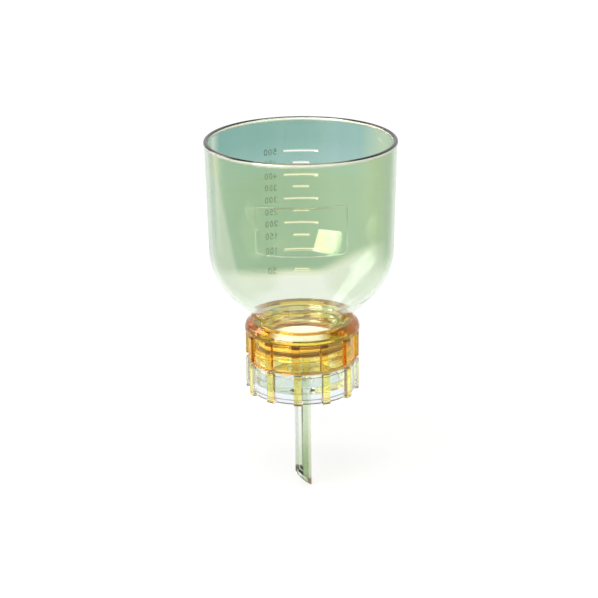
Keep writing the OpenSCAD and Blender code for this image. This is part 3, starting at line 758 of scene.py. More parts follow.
def thread_rows(t, plan, root_r, inward, middle_z, low_z, high_z):
    """A wall with a helical ridge, as rows that climb with the helix.

    A row lies at middle + pitch * (turn + angle / full turn) + offset, held between the wall's ends. Its
    radius is the root plus the ridge's height, which falls from crest to root between the offsets top and
    foot, and fades over a twelfth of the ridge's length at each end."""
    turn_angle = (plan[0] - t.start) % FULL_TURN
    order = np.argsort(turn_angle)
    angle, swept = plan[0][order], turn_angle[order]
    slant = t.foot - t.top
    side = np.array([t.top - RIDGE_FOOT, t.top, t.foot - 0.8 * slant, t.foot - 0.5 * slant,
                     t.foot - 0.2 * slant, t.foot, t.foot + RIDGE_FOOT])
    offsets = np.concatenate([[-0.5 * t.pitch], -side[::-1], [0.0], side])
    per_turn = len(offsets)
    low_turn, high_turn = math.floor((low_z - middle_z) / t.pitch), math.ceil((high_z - middle_z) / t.pitch)
    turns = np.arange(low_turn - 2, high_turn + 2)
    turn = np.repeat(turns, per_turn)[:, None]
    offset = np.tile(offsets, len(turns))[:, None]
    share = (turn + swept / FULL_TURN) / t.turns
    fade = np.clip(np.minimum(share, 1.0 - share) * RIDGE_FADE, 0.0, 1.0)
    z = np.clip(middle_z + t.pitch * (turn + swept / FULL_TURN) + offset, low_z, high_z)
    high = t.depth * fade * ((z > low_z) & (z < high_z))

    def ridge(at):
        return eased((t.foot - np.abs(at)) / slant)

    step = 1e-3 * MM
    slope = high * (ridge(offset + step) - ridge(offset - step)) / (2.0 * step)
    sign = -1.0 if inward else 1.0
    place = around(root_r + sign * high * ridge(offset), angle, z)
    normal = around(sign / np.hypot(1.0, slope), angle, -slope / np.hypot(1.0, slope))
    at = np.arange(z.size).reshape(z.shape)
    right = np.full_like(at, -1)
    right[:, :-1] = at[:, 1:]
    right[:-per_turn, -1] = at[per_turn:, 0]
    quads = np.stack([at[:-1], right[:-1], right[1:], at[1:]], axis=2).reshape(-1, 4)
    quads = quads[(quads >= 0).all(axis=1)]
    return place.reshape(-1, 3), normal.reshape(-1, 3), quads[:, ::-1] if inward else quads


def ring_surface(r, t, g):
    """The lock ring: one ribbed outline carried round the axis, and the helical wall inside it."""
    root_r = r.crest_r + t.depth
    wall_r = root_r + r.wall
    plan = rib_plan(g, wall_r, g.ring_phase)
    angles = plan[0]
    bead_r = wall_r + r.bead_out
    bead_z = r.foot_z + r.bead_h
    shoulder_z = r.top_z - r.shoulder_h
    lip_z = r.top_z - r.lip_t
    foot = softened([(root_r, r.foot_z, 0.0), (bead_r, r.foot_z, 0.45 * MM), (bead_r, bead_z, EDGE),
                     (wall_r, bead_z, 0.0)], 0, -1)
    reach = np.maximum(plan[1] - EDGE, wall_r)
    ledge = np.where(reach > bead_r - EDGE, -1.0, 1.0)
    crown = softened([
        (wall_r, shoulder_z, 0.0), (r.shoulder_r, shoulder_z, 0.35 * MM),
        (r.shoulder_r, shoulder_z + r.shoulder_edge, 0.5 * MM),
        (r.shoulder_r - r.lean, r.top_z - r.bevel_h, 0.6 * MM),
        (r.shoulder_r - r.bevel_in, r.top_z, 0.6 * MM), (r.lip_r, r.top_z, 0.6 * MM),
        (r.lip_r, lip_z, 0.3 * MM), (r.crest_r, lip_z, 0.2 * MM),
        (r.crest_r, r.relief_z, 0.2 * MM), (root_r, r.relief_z, 0.0)], 1)
    outside = joined_bands([
        turned(foot, angles),
        level_row(plan, bead_r - EDGE, bead_z, ledge), level_row(plan, reach, bead_z, ledge),
        *rib_end(plan, bead_z, -1.0), ribbed_row(plan, shoulder_z),
        level_row(plan, plan[1], shoulder_z, -1.0), turned(crown, angles)])
    return merged(outside, thread_rows(t, plan, root_r, True, t.ring_z, r.foot_z, r.relief_z))


def base_surface(b, t, g):
    """The base: from the tip up the stem, round the cup, down and up the ribbed skirt, the helical wall of
    the collar, the seat with its groove, the cup and down the bore. The tip is cut at a slant: its rows lie
    on the plane z = tip + (stem - x) * tan(angle)."""
    plan = rib_plan(g, b.foot_r, g.base_phase)
    angles = plan[0]
    web_z = b.skirt_h - b.web_t
    wall_z = b.collar_z - 1.0 * MM
    slant = math.tan(b.tip_angle)
    steep = math.hypot(1.0, slant)

    def tip_row(radius, outward):
        """A row on the cut, whose faces look outwards (1), inwards (-1) or along the cut's own normal (0)."""
        place = around(radius, angles, b.tip_z + (b.stem_r - radius * np.cos(angles)) * slant)
        cut = around(0.0, angles, -1.0 / steep) - (slant / steep, 0.0, 0.0)
        return place[None], (around(outward, angles, 0.0) if outward else cut)[None]

    cup = softened([
        (b.stem_r, b.under_z - STEM_ROW, 0.0), (b.stem_r, b.under_z, 1.0 * MM),
        (b.collar_r, b.under_z, 0.8 * MM), (b.collar_r, web_z, 0.4 * MM), (b.skirt_in_r, web_z, 0.4 * MM),
        (b.skirt_in_r, 0.0, 0.25 * MM), (b.foot_r, 0.0, 0.0)], 0, -1)
    wider = np.maximum(plan[1], b.skirt_r)
    below = joined_bands([
        tip_row(b.stem_r, 1.0), turned(cup, angles),
        level_row(plan, np.maximum(plan[1] - EDGE, b.foot_r), 0.0, -1.0),
        *rib_end(plan, 0.0, -1.0), ribbed_row(plan, b.foot_h), level_row(plan, plan[1], b.foot_h, -1.0),
        level_row(plan, wider, b.foot_h, -1.0), ribbed_row(plan, b.foot_h, least=b.skirt_r),
        *rib_end(plan, b.skirt_h, 1.0, b.skirt_r),
        level_row(plan, np.maximum(plan[1] - EDGE, b.skirt_r), b.skirt_h, 1.0),
        level_row(plan, b.collar_r, b.skirt_h, 1.0)])
    groove_out, groove_in = b.groove_r + b.groove_w / 2.0, b.groove_r - b.groove_w / 2.0
    groove_z = b.seat_z - b.groove_d
    seat = softened([
        (b.collar_r, wall_z, 0.0), (b.collar_r, b.collar_z, 0.4 * MM), (b.recess_r, b.collar_z, 0.3 * MM),
        (b.recess_r, b.seat_z, 0.2 * MM), (groove_out, b.seat_z, 0.1 * MM), (groove_out, groove_z, 0.2 * MM),
        (groove_in, groove_z, 0.2 * MM), (groove_in, b.seat_z, 0.1 * MM), (b.cup_r, b.seat_z, 0.25 * MM),
        (b.cup_r, b.floor_z + b.fall, 1.2 * MM, 6), (b.bore_r, b.floor_z, 0.6 * MM),
        (b.bore_r, b.floor_z - STEM_ROW, 0.0)])
    above = joined_bands([turned(seat, angles), tip_row(b.bore_r, -1.0), tip_row(b.bore_r, 0.0),
                          tip_row(b.stem_r, 0.0), tip_row(b.stem_r, 1.0)])
    return merged(below, thread_rows(t, plan, b.collar_r, False, t.base_z, b.skirt_h, wall_z), above)


def seal_surface(middle_r, middle_z, half_w, half_t):
    """A seal ring: a circle of half the width, held flat at half the thickness, carried round the axis."""
    a = np.arange(SEAL_STEPS) * FULL_TURN / SEAL_STEPS
    rise = half_w * np.sin(a)
    flat = np.abs(rise) >= half_t
    circle = np.stack([middle_r + half_w * np.cos(a), middle_z + np.clip(rise, -half_t, half_t)], axis=1)
    side = np.stack([np.where(flat, 0.0, np.cos(a)), np.where(flat, np.sign(np.sin(a)), np.sin(a))], axis=1)
    band = turned((circle, side), np.arange(SEAL_COLUMNS) * FULL_TURN / SEAL_COLUMNS)
    return joined_bands([band, (band[0][:1], band[1][:1])])


# ---------------------------------------------------------------- finishes

class BowlAreas:
    """Where the bowl's painted areas begin and end, and how soft a band's sides are, in millimetres"""
    rim = FUNNEL_HIGH.z / MM
    pale_right = (-5.0, 30.0)
    pale_top = (114.0, 130.0)
    pale_low = (62.0, 86.0)
    slant = (-1.2, 1.2)
    slant_per_z = 0.1941
    slant_per_y = 0.125
    slant_x = 22.3
    upright = (124.0, 130.0)
    warm = (106.0, 110.0)
    level_per_y = 0.3242
    level_bend_x = 8.0
    level_bend = -0.5
    tinted = (60.5, 69.0)
    low = (44.0, 52.0)
    back = (-12.0, 12.0)
    sides = (60.0, 85.0)
    right = (30.0, 47.5)
    left = (-48.5, -44.0)
    outline = (0.95, 0.985)
    cone = (44.0, 48.0)
    patch_x = (9.0, 20.0)
    patch_z = (51.0, 57.0)
    throat = (33.7, 35.3, 0.3)
    throat_r = (18.0, 18.4)
    panel_top = (92.0, 112.0)
    rim_line = (rim - 2.1, rim - 1.6, 0.1)
    # The painted highlight on the rim bead's sides.
    rim_light = (rim - 1.45, rim - 0.55, 0.1)
    rim_crown = (rim - 0.5, rim - 0.35)
    rim_sides = (12.0, 44.0)
    crown_reach = 0.35


class RingAreas:
    """Where the lock ring's painted areas begin and end, and how soft a band's sides are, in millimetres"""
    side = (18.0, 27.0)
    back = (8.0, 18.0)
    shoulder = (33.2, 34.2)
    back_edge = (39.3, 39.6)
    below = (33.5, 34.0)
    rib_r = (30.6, 30.7)
    flank_r = (29.5, 30.6, 0.1)
    foot = (19.0, 19.2)
    foot_r = (28.8, 29.0)
    rib_top = (32.2, 33.8, 0.2)
    rib_top_r = (29.6, 30.0)
    line = (33.5, 34.3, 0.2)
    line_r = (28.9, 29.1)
    # The painted highlight on the front of the bevel.
    light = (37.2, 39.2, 0.3)
    light_y = (-24.0, -20.0)
    light_x = (9.0, 18.0)
    light_shift = 1.5


class BaseAreas:
    """Where the base's painted areas begin and end, and how soft a band's sides are, in millimetres"""
    skirt_r = (27.0, 27.4)
    rib_r = (29.0, 30.0)
    flank_r = (29.1, 30.6, 0.1)
    side = (23.5, 27.0)
    foot_line = (0.0, 0.4, 0.2)
    step_line = (2.3, 2.6, 0.1)
    thread = (17.5, 18.0)
    thread_r = (26.2, 27.2, 0.2)
    stem = (4.0, 5.0)
    stem_r = (4.6, 5.0)
    tip = (-52.0, -16.0)
    # The painted highlight band on the stem's left.
    light_x = (-2.3, -1.3, 0.3)
    right = (-0.6, -0.4)
    line = (-34.0, -6.0)
    line_x = (-0.6, -0.3, 0.2)
    outline_x = (-4.3, -4.1)
    cut = (0.7, 1.2)
    point = (3.0, 4.0)
    point_x = (2.2, 3.4)
    nick = (0.8, 3.4, 0.3)
    nick_x = (-4.6, -3.6, 0.2)
    hook = (2.6, 4.2, 0.4)
    hook_x = (-2.2, -0.2, 0.3)


class Nodes:
    """A node tree under construction. add() makes a node, whose inputs are numbers, colours or outputs of
    other nodes. tint is the colour so far, and paint() lays another one over it."""

    def __init__(self, owner, output):
        owner.use_nodes = True
        self.owner = owner
        self.tree = owner.node_tree
        self.tree.nodes.clear()
        self.output = self.add(output)
        self.tint = None

    def add(self, kind, inputs=None, **settings):
        node = self.tree.nodes.new(kind)
        for key, value in settings.items():
            setattr(node, key, value)
        for key, value in (inputs or {}).items():
            socket = node.inputs[key]
            if isinstance(value, bpy.types.NodeSocket):
                self.tree.links.new(value, socket)
            elif socket.type == "RGBA":
                socket.default_value = (*value[:3], 1.0)
            else:
                socket.default_value = value
        return node

    def show(self, shader, kind="Surface"):
        """Join a shader to the tree's output, and give back the material or world."""
        self.tree.links.new(shader.outputs[0], self.output.inputs[kind])
        return self.owner

    def place(self):
        return self.add("ShaderNodeTexCoord").outputs["Object"]

    def axes(self):
        return self.add("ShaderNodeSeparateXYZ", {"Vector": self.place()}).outputs

    def radius(self):
        """Distance from the unit's axis."""
        flat = self.add("ShaderNodeVectorMath", {0: self.place(), 1: (1.0, 1.0, 0.0)}, operation="MULTIPLY")
        return self.add("ShaderNodeVectorMath", {0: flat.outputs[0]}, operation="LENGTH").outputs["Value"]

    def attribute(self, name):
        return self.add("ShaderNodeAttribute", attribute_name=name).outputs["Fac"]

    def calc(self, operation, *values):
        return self.add("ShaderNodeMath", dict(enumerate(values)), operation=operation).outputs[0]

    def both(self, first, *others):
        """The product of several masks."""
        for other in others:
            first = self.calc("MULTIPLY", first, other)
        return first

    def ramp(self, value, low, high, start=0.0, end=1.0):
        """start below low and end above high, with a smooth step between."""
        return self.add("ShaderNodeMapRange", {
            "Value": value, "From Min": low, "From Max": high, "To Min": start, "To Max": end},
            interpolation_type="SMOOTHSTEP").outputs["Result"]

    def rise(self, value, area, start=0.0, end=1.0):
        """A ramp over an area given in millimetres."""
        return self.ramp(value, area[0] * MM, area[1] * MM, start, end)

    def fall(self, value, area, start=1.0):
        return self.rise(value, area, start, 0.0)

    def band(self, value, area):
        """1 inside an area in millimetres, falling smoothly to 0 over its third number outside it."""
        low, high, soft = area
        return self.both(self.rise(value, (low - soft, low)), self.fall(value, (high, high + soft)))

    def noise(self, scale, detail=2.0, stretch=(1.0, 1.0, 1.0)):
        """Noise of a given scale, in waves per metre, on the piece's own coordinates."""
        place = self.add("ShaderNodeMapping", {"Vector": self.place(), "Scale": stretch}).outputs["Vector"]
        return self.add("ShaderNodeTexNoise", {
            "Vector": place, "Scale": scale, "Detail": detail}).outputs["Fac"]

    def mix(self, factor, first, second, blend="MIX"):
        """Colour first where factor is 0 and second (or their product, with MULTIPLY) where it is 1."""
        return self.add("ShaderNodeMix", {0: factor, 6: first, 7: second}, data_type="RGBA",
                        blend_type=blend).outputs[2]

    def mottled(self, colour, share, cloud, low=0.35, high=0.65):
        """A colour that drifts with a noise to a share of itself."""
        return self.mix(self.ramp(cloud, low, high), colour, [v * w for v, w in zip(colour, share)])

    def paint(self, colour, *masks):
        """Lay a colour over the tint where all the masks are 1."""
        self.tint = self.mix(self.both(*masks), self.tint, colour)

    def bump(self, height, strength, distance):
        return self.add("ShaderNodeBump", {"Height": height, "Strength": strength,
                                           "Distance": distance}).outputs["Normal"]

    def seen_directly(self):
        """1 for rays from the camera, or that glass or a gloss has sent on, and 0 for the rest."""
        path = self.add("ShaderNodeLightPath").outputs
        straight = self.calc("MAXIMUM", path["Is Camera Ray"], path["Is Glossy Ray"])
        return self.calc("MAXIMUM", straight, path["Is Transmission Ray"])


def new_finish(name):
    """An empty material under construction."""
    return Nodes(bpy.data.materials.new(name), "ShaderNodeOutputMaterial")


def clear_plastic(f, normal, depth, density, roughness=POLISHED, ior=CLEAR_IOR, clearness=1.0, gloss=WHITE):
    """Clear moulded plastic: a refracting shader in the tint, a plain absorbing body that darkens where the
    light's way is long, and, for shadow rays only, a tinted see-through, so that lamps reach the inside."""
    shader = f.add("ShaderNodeBsdfPrincipled", {
        "Base Color": f.tint, "Transmission Weight": clearness, "Roughness": roughness, "IOR": ior,
        "Specular Tint": gloss, "Normal": normal})
    through = f.add("ShaderNodeBsdfTransparent", {"Color": f.tint})
    shadow = f.add("ShaderNodeLightPath").outputs["Is Shadow Ray"]
    both = f.add("ShaderNodeMixShader", {0: shadow, 1: shader.outputs[0], 2: through.outputs[0]})
    f.show(f.add("ShaderNodeVolumeAbsorption", {"Color": depth, "Density": density}), "Volume")
    return f.show(both)


def bowl_finish(c):
    """The funnel's clear plastic, one even tint with painted light over it: cool at the back, warm in front,
    paler on the left behind a slanted line, tinted at the sides with darker outline strips and nearly clear
    below the waist, standing in for the light the walls let through, with the slow waves of a moulded wall.
    The marks are clear with a painted white highlight, the rim bead has a painted dark crown between sides
    with a painted highlight, and the panel a painted shaded upper and a painted highlit lower edge."""
    f = new_finish("funnel_clear")
    at = BowlAreas
    x, y, z = f.axes()
    # Painted light: the tints laid from here down to the clear patch stand in for the light seen through the
    # walls.
    f.tint = c.bowl_back
    f.paint(c.bowl_back_pale, f.calc("ADD", f.rise(x, at.pale_right, 0.0, 0.55), f.fall(z, at.pale_top, 0.4)))
    f.paint(c.bowl_back_pale, f.fall(z, at.pale_low, 0.35))
    slant = f.calc("MULTIPLY_ADD", y, at.slant_per_y, f.calc("ADD", x, at.slant_x * MM))
    slant = f.calc("MULTIPLY_ADD", z, at.slant_per_z, slant)
    inside = f.calc("MAXIMUM", f.rise(slant, at.slant), f.rise(z, at.upright))
    back = f.mix(inside, c.bowl_side, f.tint)
    back = f.mix(f.rise(z, at.warm), f.mix(1.0, back, c.bowl_warm, "MULTIPLY"), back)
    beyond = f.calc("MAXIMUM", f.calc("SUBTRACT", x, at.level_bend_x * MM), 0.0)
    level = f.calc("MULTIPLY_ADD", beyond, at.level_bend, z)
    tinted = f.rise(f.calc("MULTIPLY_ADD", y, at.level_per_y, level), at.tinted)
    back = f.mix(tinted, c.bowl_low, back)
    front = f.mix(f.both(tinted, inside), f.mix(f.rise(z, at.low), CLEAR, c.bowl_low), c.bowl_front)
    f.tint = f.mix(f.rise(y, at.back), front, back)
    aside = f.calc("ABSOLUTE", x)
    high = f.rise(z, at.sides)
    f.paint(c.bowl_edge, f.rise(x, at.right), high)
    f.paint(c.bowl_edge_left, f.fall(x, at.left), high)
    f.paint(c.bowl_outline, f.ramp(f.calc("DIVIDE", aside, f.radius()), *at.outline), high)
    f.tint = f.mix(f.rise(z, at.cone), CLEAR, f.tint)
    f.paint(CLEAR, f.fall(aside, at.patch_x), f.fall(z, at.patch_z))
    # Painted shade round the foot of the throat, inside the lock ring.
    f.paint(c.throat_band, f.band(z, at.throat), f.fall(f.radius(), at.throat_r))
    # Painted shade along the panel's upper edge and a painted highlight along its lower edge.
    edge = f.attribute("panel")
    upper = f.rise(z, at.panel_top)
    lower_edge_highlight = f.both(edge, f.calc("SUBTRACT", 1.0, upper))
    f.paint(c.panel_dark, edge, upper)
    f.paint(c.panel_light, lower_edge_highlight)
    # Painted highlight on the marks, and behind them on the inner wall.
    f.paint(c.mark, f.attribute("mark"))
    # Painted shade: a dark line under the rim bead.
    f.paint(c.rim_line, f.band(z, at.rim_line))
    # Painted highlight on the rim bead's sides. It and the panel's lower edge are made partly milky so that
    # they stay light.
    rim = f.band(z, at.rim_light)
    f.paint(c.rim_band, rim)
    # Painted shade on the bead's crown, reaching lower towards the sides.
    sideways = f.rise(aside, at.rim_sides)
    reach = f.calc("MULTIPLY_ADD", sideways, at.crown_reach * MM, z)
    f.paint(c.rim_crown, f.rise(reach, at.rim_crown), f.ramp(sideways, 0.0, 0.5, 0.85, 1.0))
    milky_highlight = f.both(f.calc("MAXIMUM", rim, f.both(lower_edge_highlight, 0.5)), 0.6)
    waves = f.noise(60.0, 2.0, (1.0, 1.0, 0.4))
    return clear_plastic(f, f.bump(waves, 0.2, 0.2 * MM), c.bowl_depth, BOWL_DENSITY,
                         roughness=f.ramp(edge, 0.0, 1.0, 0.02, 0.2),
                         clearness=f.calc("SUBTRACT", 1.0, milky_highlight))


def number_finish(c):
    """The raised numbers: the bowl's plastic with the faint grain that a mould leaves on lettering."""
    f = new_finish("number_clear")
    f.tint = c.number
    return clear_plastic(f, f.bump(f.noise(2500.0, 3.0), 0.3, 0.05 * MM), c.number_depth, NUMBER_DENSITY,
                         roughness=0.08, clearness=0.6)


def ring_finish(c):
    """The lock ring's amber plastic, which goes from yellow in thin walls to red-brown in thick ones. Its
    shoulder is warmer, with a painted highlight band in front and painted shade at its sides, and its foot
    bead is darker. Its rib flanks, its top edge at the back, the tops of its ribs and a line under the
    shoulder carry painted shade."""
    f = new_finish("ring_amber")
    at = RingAreas
    x, y, z = f.axes()
    r = f.radius()
    f.tint = f.mottled(c.ring_wall, (1.0, 0.98, 0.92), f.noise(90.0, 3.0))
    back = f.rise(y, at.back)
    # The shoulder gets painted shade at its right and left. At the back it keeps the wall's tint.
    shoulder = f.mix(f.rise(f.calc("ABSOLUTE", x), at.side), c.ring_shoulder, c.ring_side)
    f.paint(f.mix(back, shoulder, c.ring_wall), f.rise(z, at.shoulder))
    # Painted shade on the top edge at the back.
    f.paint(c.ring_edge, back, f.rise(z, at.back_edge))
    below = f.fall(z, at.below)
    f.paint(c.ring_rib, f.rise(r, at.rib_r), below)
    # Painted shade on the rib flanks.
    f.paint(c.ring_edge, f.band(r, at.flank_r), below)
    f.paint(c.ring_foot, f.fall(z, at.foot, 0.8), f.rise(r, at.foot_r))
    # Painted shade where the ribs meet the shoulder.
    f.paint(c.ring_rib_top, f.rise(r, at.rib_top_r), f.band(z, at.rib_top))
    # Painted shade under the overhanging shoulder.
    f.paint(c.ring_line, f.rise(r, at.line_r), f.band(z, at.line))
    # Painted highlight on the front of the bevel, which is made partly milky below so that it stays light.
    across = f.fall(f.calc("ABSOLUTE", f.calc("ADD", x, at.light_shift * MM)), at.light_x)
    light = f.both(f.band(z, at.light), f.both(f.fall(y, at.light_y), across))
    f.paint(c.ring_light, light)
    return clear_plastic(f, f.bump(f.noise(140.0, 2.0), 0.3, 0.2 * MM), c.ring_depth, RING_DENSITY,
                         ior=AMBER_IOR, clearness=f.calc("MULTIPLY_ADD", light, -0.8, 1.0),
                         gloss=c.ring_gloss)


def base_finish(c):
    """The base's clear plastic: a cool skirt, ribs with a painted amber reflection of the ring and painted
    shade on their flanks, painted shade lines round the skirt's foot, a brown thread crest of painted shade,
    and a stem painted lit and pale on its left, with a painted highlight band, and shaded pale green on its
    right, beside a thin painted dark line, with a brown point and two small dark marks."""
    f = new_finish("base_clear")
    at = BaseAreas
    x, _, z = f.axes()
    r = f.radius()
    f.tint = f.mottled(c.base_body, (0.98, 1.0, 0.96), f.noise(70.0, 3.0))
    skirt = f.rise(r, at.skirt_r)
    f.paint(c.base_skirt, skirt)
    # Painted reflection of the amber ring on the ribs.
    f.paint(c.base_rib, f.rise(r, at.rib_r))
    # Painted shade on the rib flanks, fading towards the right and left.
    flank_shade = f.mix(f.rise(f.calc("ABSOLUTE", x), at.side, 0.0, 0.8), c.base_edge, c.base_skirt)
    f.paint(flank_shade, f.band(r, at.flank_r))
    # Painted shade lines at the skirt's foot and at its step.
    f.paint(c.base_line, f.calc("MAXIMUM", f.band(z, at.foot_line), f.band(z, at.step_line)), skirt)
    # Painted shade on the thread's crest.
    f.paint(c.base_thread, f.band(r, at.thread_r), f.rise(z, at.thread))
    body = f.tint
    # Painted light on the stem: paler on the left with a painted highlight band, shaded and greener on the
    # right, darker towards the tip.
    down = f.fall(z, at.tip)
    left = f.mix(down, c.stem_left, c.stem_tip_left)
    left = f.mix(f.both(f.band(x, at.light_x), f.ramp(down, 0.0, 1.0, 0.8, 0.4)), left, CLEAR)
    f.tint = f.mix(f.rise(x, at.right), left, f.mix(down, c.stem_green, c.stem_tip))
    # Painted shade: the dark line in the middle of the stem and its left outline.
    f.paint(c.stem_line, f.band(x, at.line_x), f.rise(z, at.line, 0.25, 1.0))
    f.paint(c.stem_line, f.fall(x, at.outline_x, 0.5))
    above_cut = f.calc("MULTIPLY_ADD", x, CUT_SLOPE, f.calc("SUBTRACT", z, BASE_LOW.z + STEM_R * CUT_SLOPE))
    f.paint(c.stem_cut, f.fall(above_cut, at.cut))
    f.paint(c.stem_point, f.fall(above_cut, at.point), f.rise(x, at.point_x))
    nick = f.both(f.band(above_cut, at.nick), f.band(x, at.nick_x))
    hook = f.both(f.band(above_cut, at.hook), f.band(x, at.hook_x))
    f.paint(c.stem_mark, f.calc("MAXIMUM", nick, hook))
    f.tint = f.mix(f.both(f.fall(r, at.stem_r), f.fall(z, at.stem)), body, f.tint)
    return clear_plastic(f, f.bump(f.noise(120.0, 2.0), 0.3, 0.2 * MM), c.base_depth, BASE_DENSITY)


def silicone_finish(c):
    """Soft red-brown silicone with a dusty, slightly uneven skin."""
    f = new_finish("silicone_red")
    dust = f.noise(900.0, 4.0)
    pale = [min(1.0, v * 1.3 + 0.05) for v in c.silicone]
    return f.show(f.add("ShaderNodeBsdfPrincipled", {
        "Base Color": f.mix(f.ramp(dust, 0.4, 0.7, 0.0, 0.35), c.silicone, pale), "Roughness": 0.45,
        "Subsurface Weight": 0.15, "Subsurface Radius": (4.0 * MM, 1.0 * MM, 0.5 * MM),
        "Normal": f.bump(dust, 0.2, 0.05 * MM)}))


def screen_finish(c):
    """White moulded plastic of the support screen: satin, with fine grain."""
    f = new_finish("screen_white")
    grain = f.noise(1800.0, 4.0)
    return f.show(f.add("ShaderNodeBsdfPrincipled", {
        "Base Color": f.mottled(c.screen, (0.95, 0.95, 0.95), f.noise(220.0), 0.3, 0.7),
        "Roughness": f.ramp(grain, 0.3, 0.7, 0.38, 0.5), "Normal": f.bump(grain, 0.25, 0.04 * MM)}))


def membrane_finish(c):
    """The membrane: matt white with the fine felted tooth of a porous film."""
    f = new_finish("membrane_white")
    return f.show(f.add("ShaderNodeBsdfPrincipled", {
        "Base Color": f.mottled(c.membrane, (0.97, 0.97, 0.97), f.noise(160.0, 3.0), 0.3, 0.7),
        "Roughness": 0.85, "Specular IOR Level": 0.3,
        "Normal": f.bump(f.noise(5200.0, 5.0), 0.4, 0.03 * MM)}))


def floor_finish(c):
    """The floor: near the unit part plain matt, which takes the shadow, and part its own white, and all white
    further out. Its own white is seen directly, in glosses and through glass only."""
    f = new_finish("floor_pale")
    matt = f.add("ShaderNodeBsdfDiffuse", {
        "Color": f.mix(f.noise(30.0, 2.0), c.floor, [v * 0.99 for v in c.floor])})
    white = f.add("ShaderNodeEmission", {"Color": WHITE, "Strength": FLOOR_WHITE})
    share = f.both(f.ramp(f.radius(), *FLOOR_REACH, FLOOR_SHARE, 1.0), f.seen_directly())
    return f.show(f.add("ShaderNodeMixShader", {0: share, 1: matt.outputs[0], 2: white.outputs[0]}))


# ---------------------------------------------------------------- operators

class FILTER_OT_funnel(bpy.types.Operator):
    """Build the graduated funnel"""
    bl_idname = "filter_unit.funnel"
    bl_label = "Funnel"

    def execute(self, context):
        unit = context.scene.filter_unit
        surface, marks = funnel_surface(unit.funnel)
        finish = bowl_finish(unit.finish)
        new_piece("funnel_moulding", surface, "funnel", finish, "funnel", marks)
        return {"FINISHED"}


class FILTER_OT_numbers(bpy.types.Operator):
    """Build the raised numbers beside the marks"""
    bl_idname = "filter_unit.numbers"
    bl_label = "Numbers"

    def execute(self, context):
        unit = context.scene.filter_unit
        surface = number_surface(unit.funnel)
        new_piece("funnel_numbers", surface, "funnel", number_finish(unit.finish))
        return {"FINISHED"}


class FILTER_OT_lock_ring(bpy.types.Operator):
    """Build the amber lock ring with its ribs and thread"""
    bl_idname = "filter_unit.lock_ring"
    bl_label = "Lock Ring"

    def execute(self, context):
        unit = context.scene.filter_unit
        surface = ring_surface(unit.ring, unit.thread, unit.grip)
        new_piece("lock_ring_moulding", surface, "ring", ring_finish(unit.finish), "lock_ring")
        return {"FINISHED"}


class FILTER_OT_base(bpy.types.Operator):
    """Build the base with its skirt, thread, cup and outlet stem"""
    bl_idname = "filter_unit.base"
    bl_label = "Base"

    def execute(self, context):
        unit = context.scene.filter_unit
        surface = base_surface(unit.base, unit.thread, unit.grip)
        new_piece("base_moulding", surface, "base", base_finish(unit.finish), "base")
        return {"FINISHED"}


class FILTER_OT_seals(bpy.types.Operator):
    """Build the two silicone seals"""
    bl_idname = "filter_unit.seals"
    bl_label = "Seals"

    def execute(self, context):
        finish = silicone_finish(context.scene.filter_unit.finish)
        for name, low, high, half, body, node in (
                ("funnel_seal_ring", TOP_SEAL_LOW, TOP_SEAL_HIGH, TOP_SEAL_HALF, "funnel", "funnel_seal"),
                ("base_seal_ring", BASE_SEAL_LOW, BASE_SEAL_HIGH, BASE_SEAL_HALF, "base", "base_seal")):
            middle = (low.z + high.z) / 2.0
            surface = seal_surface(high.x - half, middle, half, high.z - middle)
            new_piece(name, surface, body, finish, node)
        return {"FINISHED"}


class FILTER_OT_filter(bpy.types.Operator):
    """Finish the support screen and the membrane, whose solids of the frame are shown as they are"""
    bl_idname = "filter_unit.filter"
    bl_label = "Screen and Membrane"

    def execute(self, context):
        colours = context.scene.filter_unit.finish
        for node, finish in (("support_screen", screen_finish), ("membrane", membrane_finish)):
            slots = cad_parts[node].data.materials
            slots.clear()
            slots.append(finish(colours))
        return {"FINISHED"}


def add_lamp(name, place, size, power, tint, mirrored=False):
    """A soft lamp that faces the unit, size wide and high. A mirrored lamp shows only in glosses, and the
    others light only matt surfaces."""
    data = bpy.data.lights.new(name, "AREA")
    data.shape = "RECTANGLE"
    data.size, data.size_y = size
    data.energy = power
    data.color = tint
    lamp = bpy.data.objects.new(name, data)
    lamp.visible_diffuse = not mirrored
    lamp.visible_glossy = mirrored
    lamp.visible_transmission = mirrored
    lamp.location = place
    lamp.rotation_euler = (LAMP_TARGET - Vector(place)).to_track_quat("-Z", "Y").to_euler()
    bpy.context.scene.collection.objects.link(lamp)


def surroundings():
    """A white world. It is seen white, it shines more softly on matt surfaces, and in glosses and through
    glass it darkens towards the zenith, like a room with a dim ceiling."""
    w = Nodes(bpy.data.worlds.new("surroundings"), "ShaderNodeOutputWorld")
    direction = w.add("ShaderNodeTexCoord").outputs["Generated"]
    up = w.add("ShaderNodeSeparateXYZ", {"Vector": direction}).outputs["Z"]
    ceiling = w.ramp(up, *CEILING_REACH, 1.0, CEILING_LIGHT)
    shown = w.calc("MAXIMUM", w.add("ShaderNodeLightPath").outputs["Is Camera Ray"], ceiling)
    level = w.add("ShaderNodeMapRange", {"Value": w.seen_directly(), "To Min": ROOM_LIGHT, "To Max": shown})
    return w.show(w.add("ShaderNodeBackground", {"Color": WHITE, "Strength": level.outputs["Result"]}))


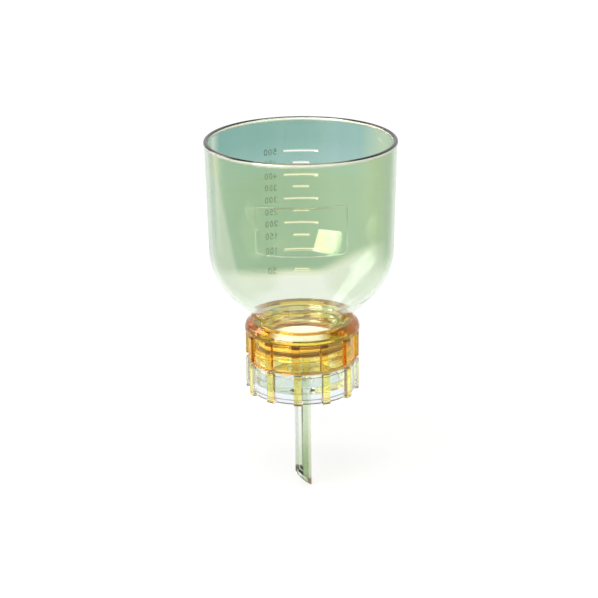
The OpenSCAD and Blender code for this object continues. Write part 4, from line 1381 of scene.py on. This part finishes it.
class FILTER_OT_stage(bpy.types.Operator):
    """Build the floor, the lamps, the white surroundings and the camera"""
    bl_idname = "filter_unit.stage"
    bl_label = "Stage"

    def execute(self, context):
        scene = context.scene
        mesh = bpy.data.meshes.new("floor")
        corners = np.array([(-1.0, -1.0), (1.0, -1.0), (1.0, 1.0), (-1.0, 1.0)]) * FLOOR_HALF
        mesh.from_pydata([(x, y, BASE_LOW.z) for x, y in corners], [], [(0, 1, 2, 3)])
        mesh.materials.append(floor_finish(scene.filter_unit.finish))
        floor = bpy.data.objects.new("floor", mesh)
        scene.collection.objects.link(floor)
        for name, values in LAMPS.items():
            add_lamp(name, *values)
        scene.world = surroundings()
        data = bpy.data.cameras.new("camera")
        data.sensor_width = 36.0
        data.lens = CAMERA_LENS
        data.shift_x = CAMERA_SHIFT
        camera = bpy.data.objects.new("camera", data)
        camera.location = CAMERA_PLACE
        pitch = Euler((math.radians(90.0 - CAMERA_DOWN), 0.0, 0.0)).to_matrix()
        roll = Euler((0.0, 0.0, math.radians(CAMERA_ROLL))).to_matrix()
        camera.rotation_euler = (pitch @ roll).to_euler()
        scene.collection.objects.link(camera)
        scene.camera = camera
        scene.view_settings.view_transform = "Standard"
        scene.cycles.max_bounces = 32
        scene.cycles.transmission_bounces = 32
        scene.cycles.glossy_bounces = 24
        return {"FINISHED"}


class FILTER_PT_panel(bpy.types.Panel):
    """Lists the pieces of the unit"""
    bl_label = "Filter Unit"
    bl_idname = "FILTER_PT_panel"
    bl_space_type = "VIEW_3D"
    bl_region_type = "UI"
    bl_category = "Filter Unit"

    def draw(self, context):
        for operator in OPERATORS:
            self.layout.operator(operator.bl_idname)
        unit = context.scene.filter_unit
        for group in (unit.funnel, unit.thread, unit.grip, unit.ring, unit.base, unit.finish):
            box = self.layout.box()
            for key in group.__annotations__:
                box.prop(group, key)


GROUPS = (FunnelSizes, ThreadSizes, GripSizes, RingSizes, BaseSizes, FinishColours, FilterUnit)
OPERATORS = (FILTER_OT_funnel, FILTER_OT_numbers, FILTER_OT_lock_ring, FILTER_OT_base, FILTER_OT_seals,
             FILTER_OT_filter, FILTER_OT_stage)


def register():
    for item in (*GROUPS, *OPERATORS, FILTER_PT_panel):
        bpy.utils.register_class(item)
    bpy.types.Scene.filter_unit = PointerProperty(type=FilterUnit)


def unregister():
    del bpy.types.Scene.filter_unit
    for item in reversed((*GROUPS, *OPERATORS, FILTER_PT_panel)):
        bpy.utils.unregister_class(item)


def main():
    register()
    bpy.ops.filter_unit.funnel()
    bpy.ops.filter_unit.numbers()
    bpy.ops.filter_unit.lock_ring()
    bpy.ops.filter_unit.base()
    bpy.ops.filter_unit.seals()
    bpy.ops.filter_unit.filter()
    bpy.ops.filter_unit.stage()


if __name__ == "__main__":
    main()
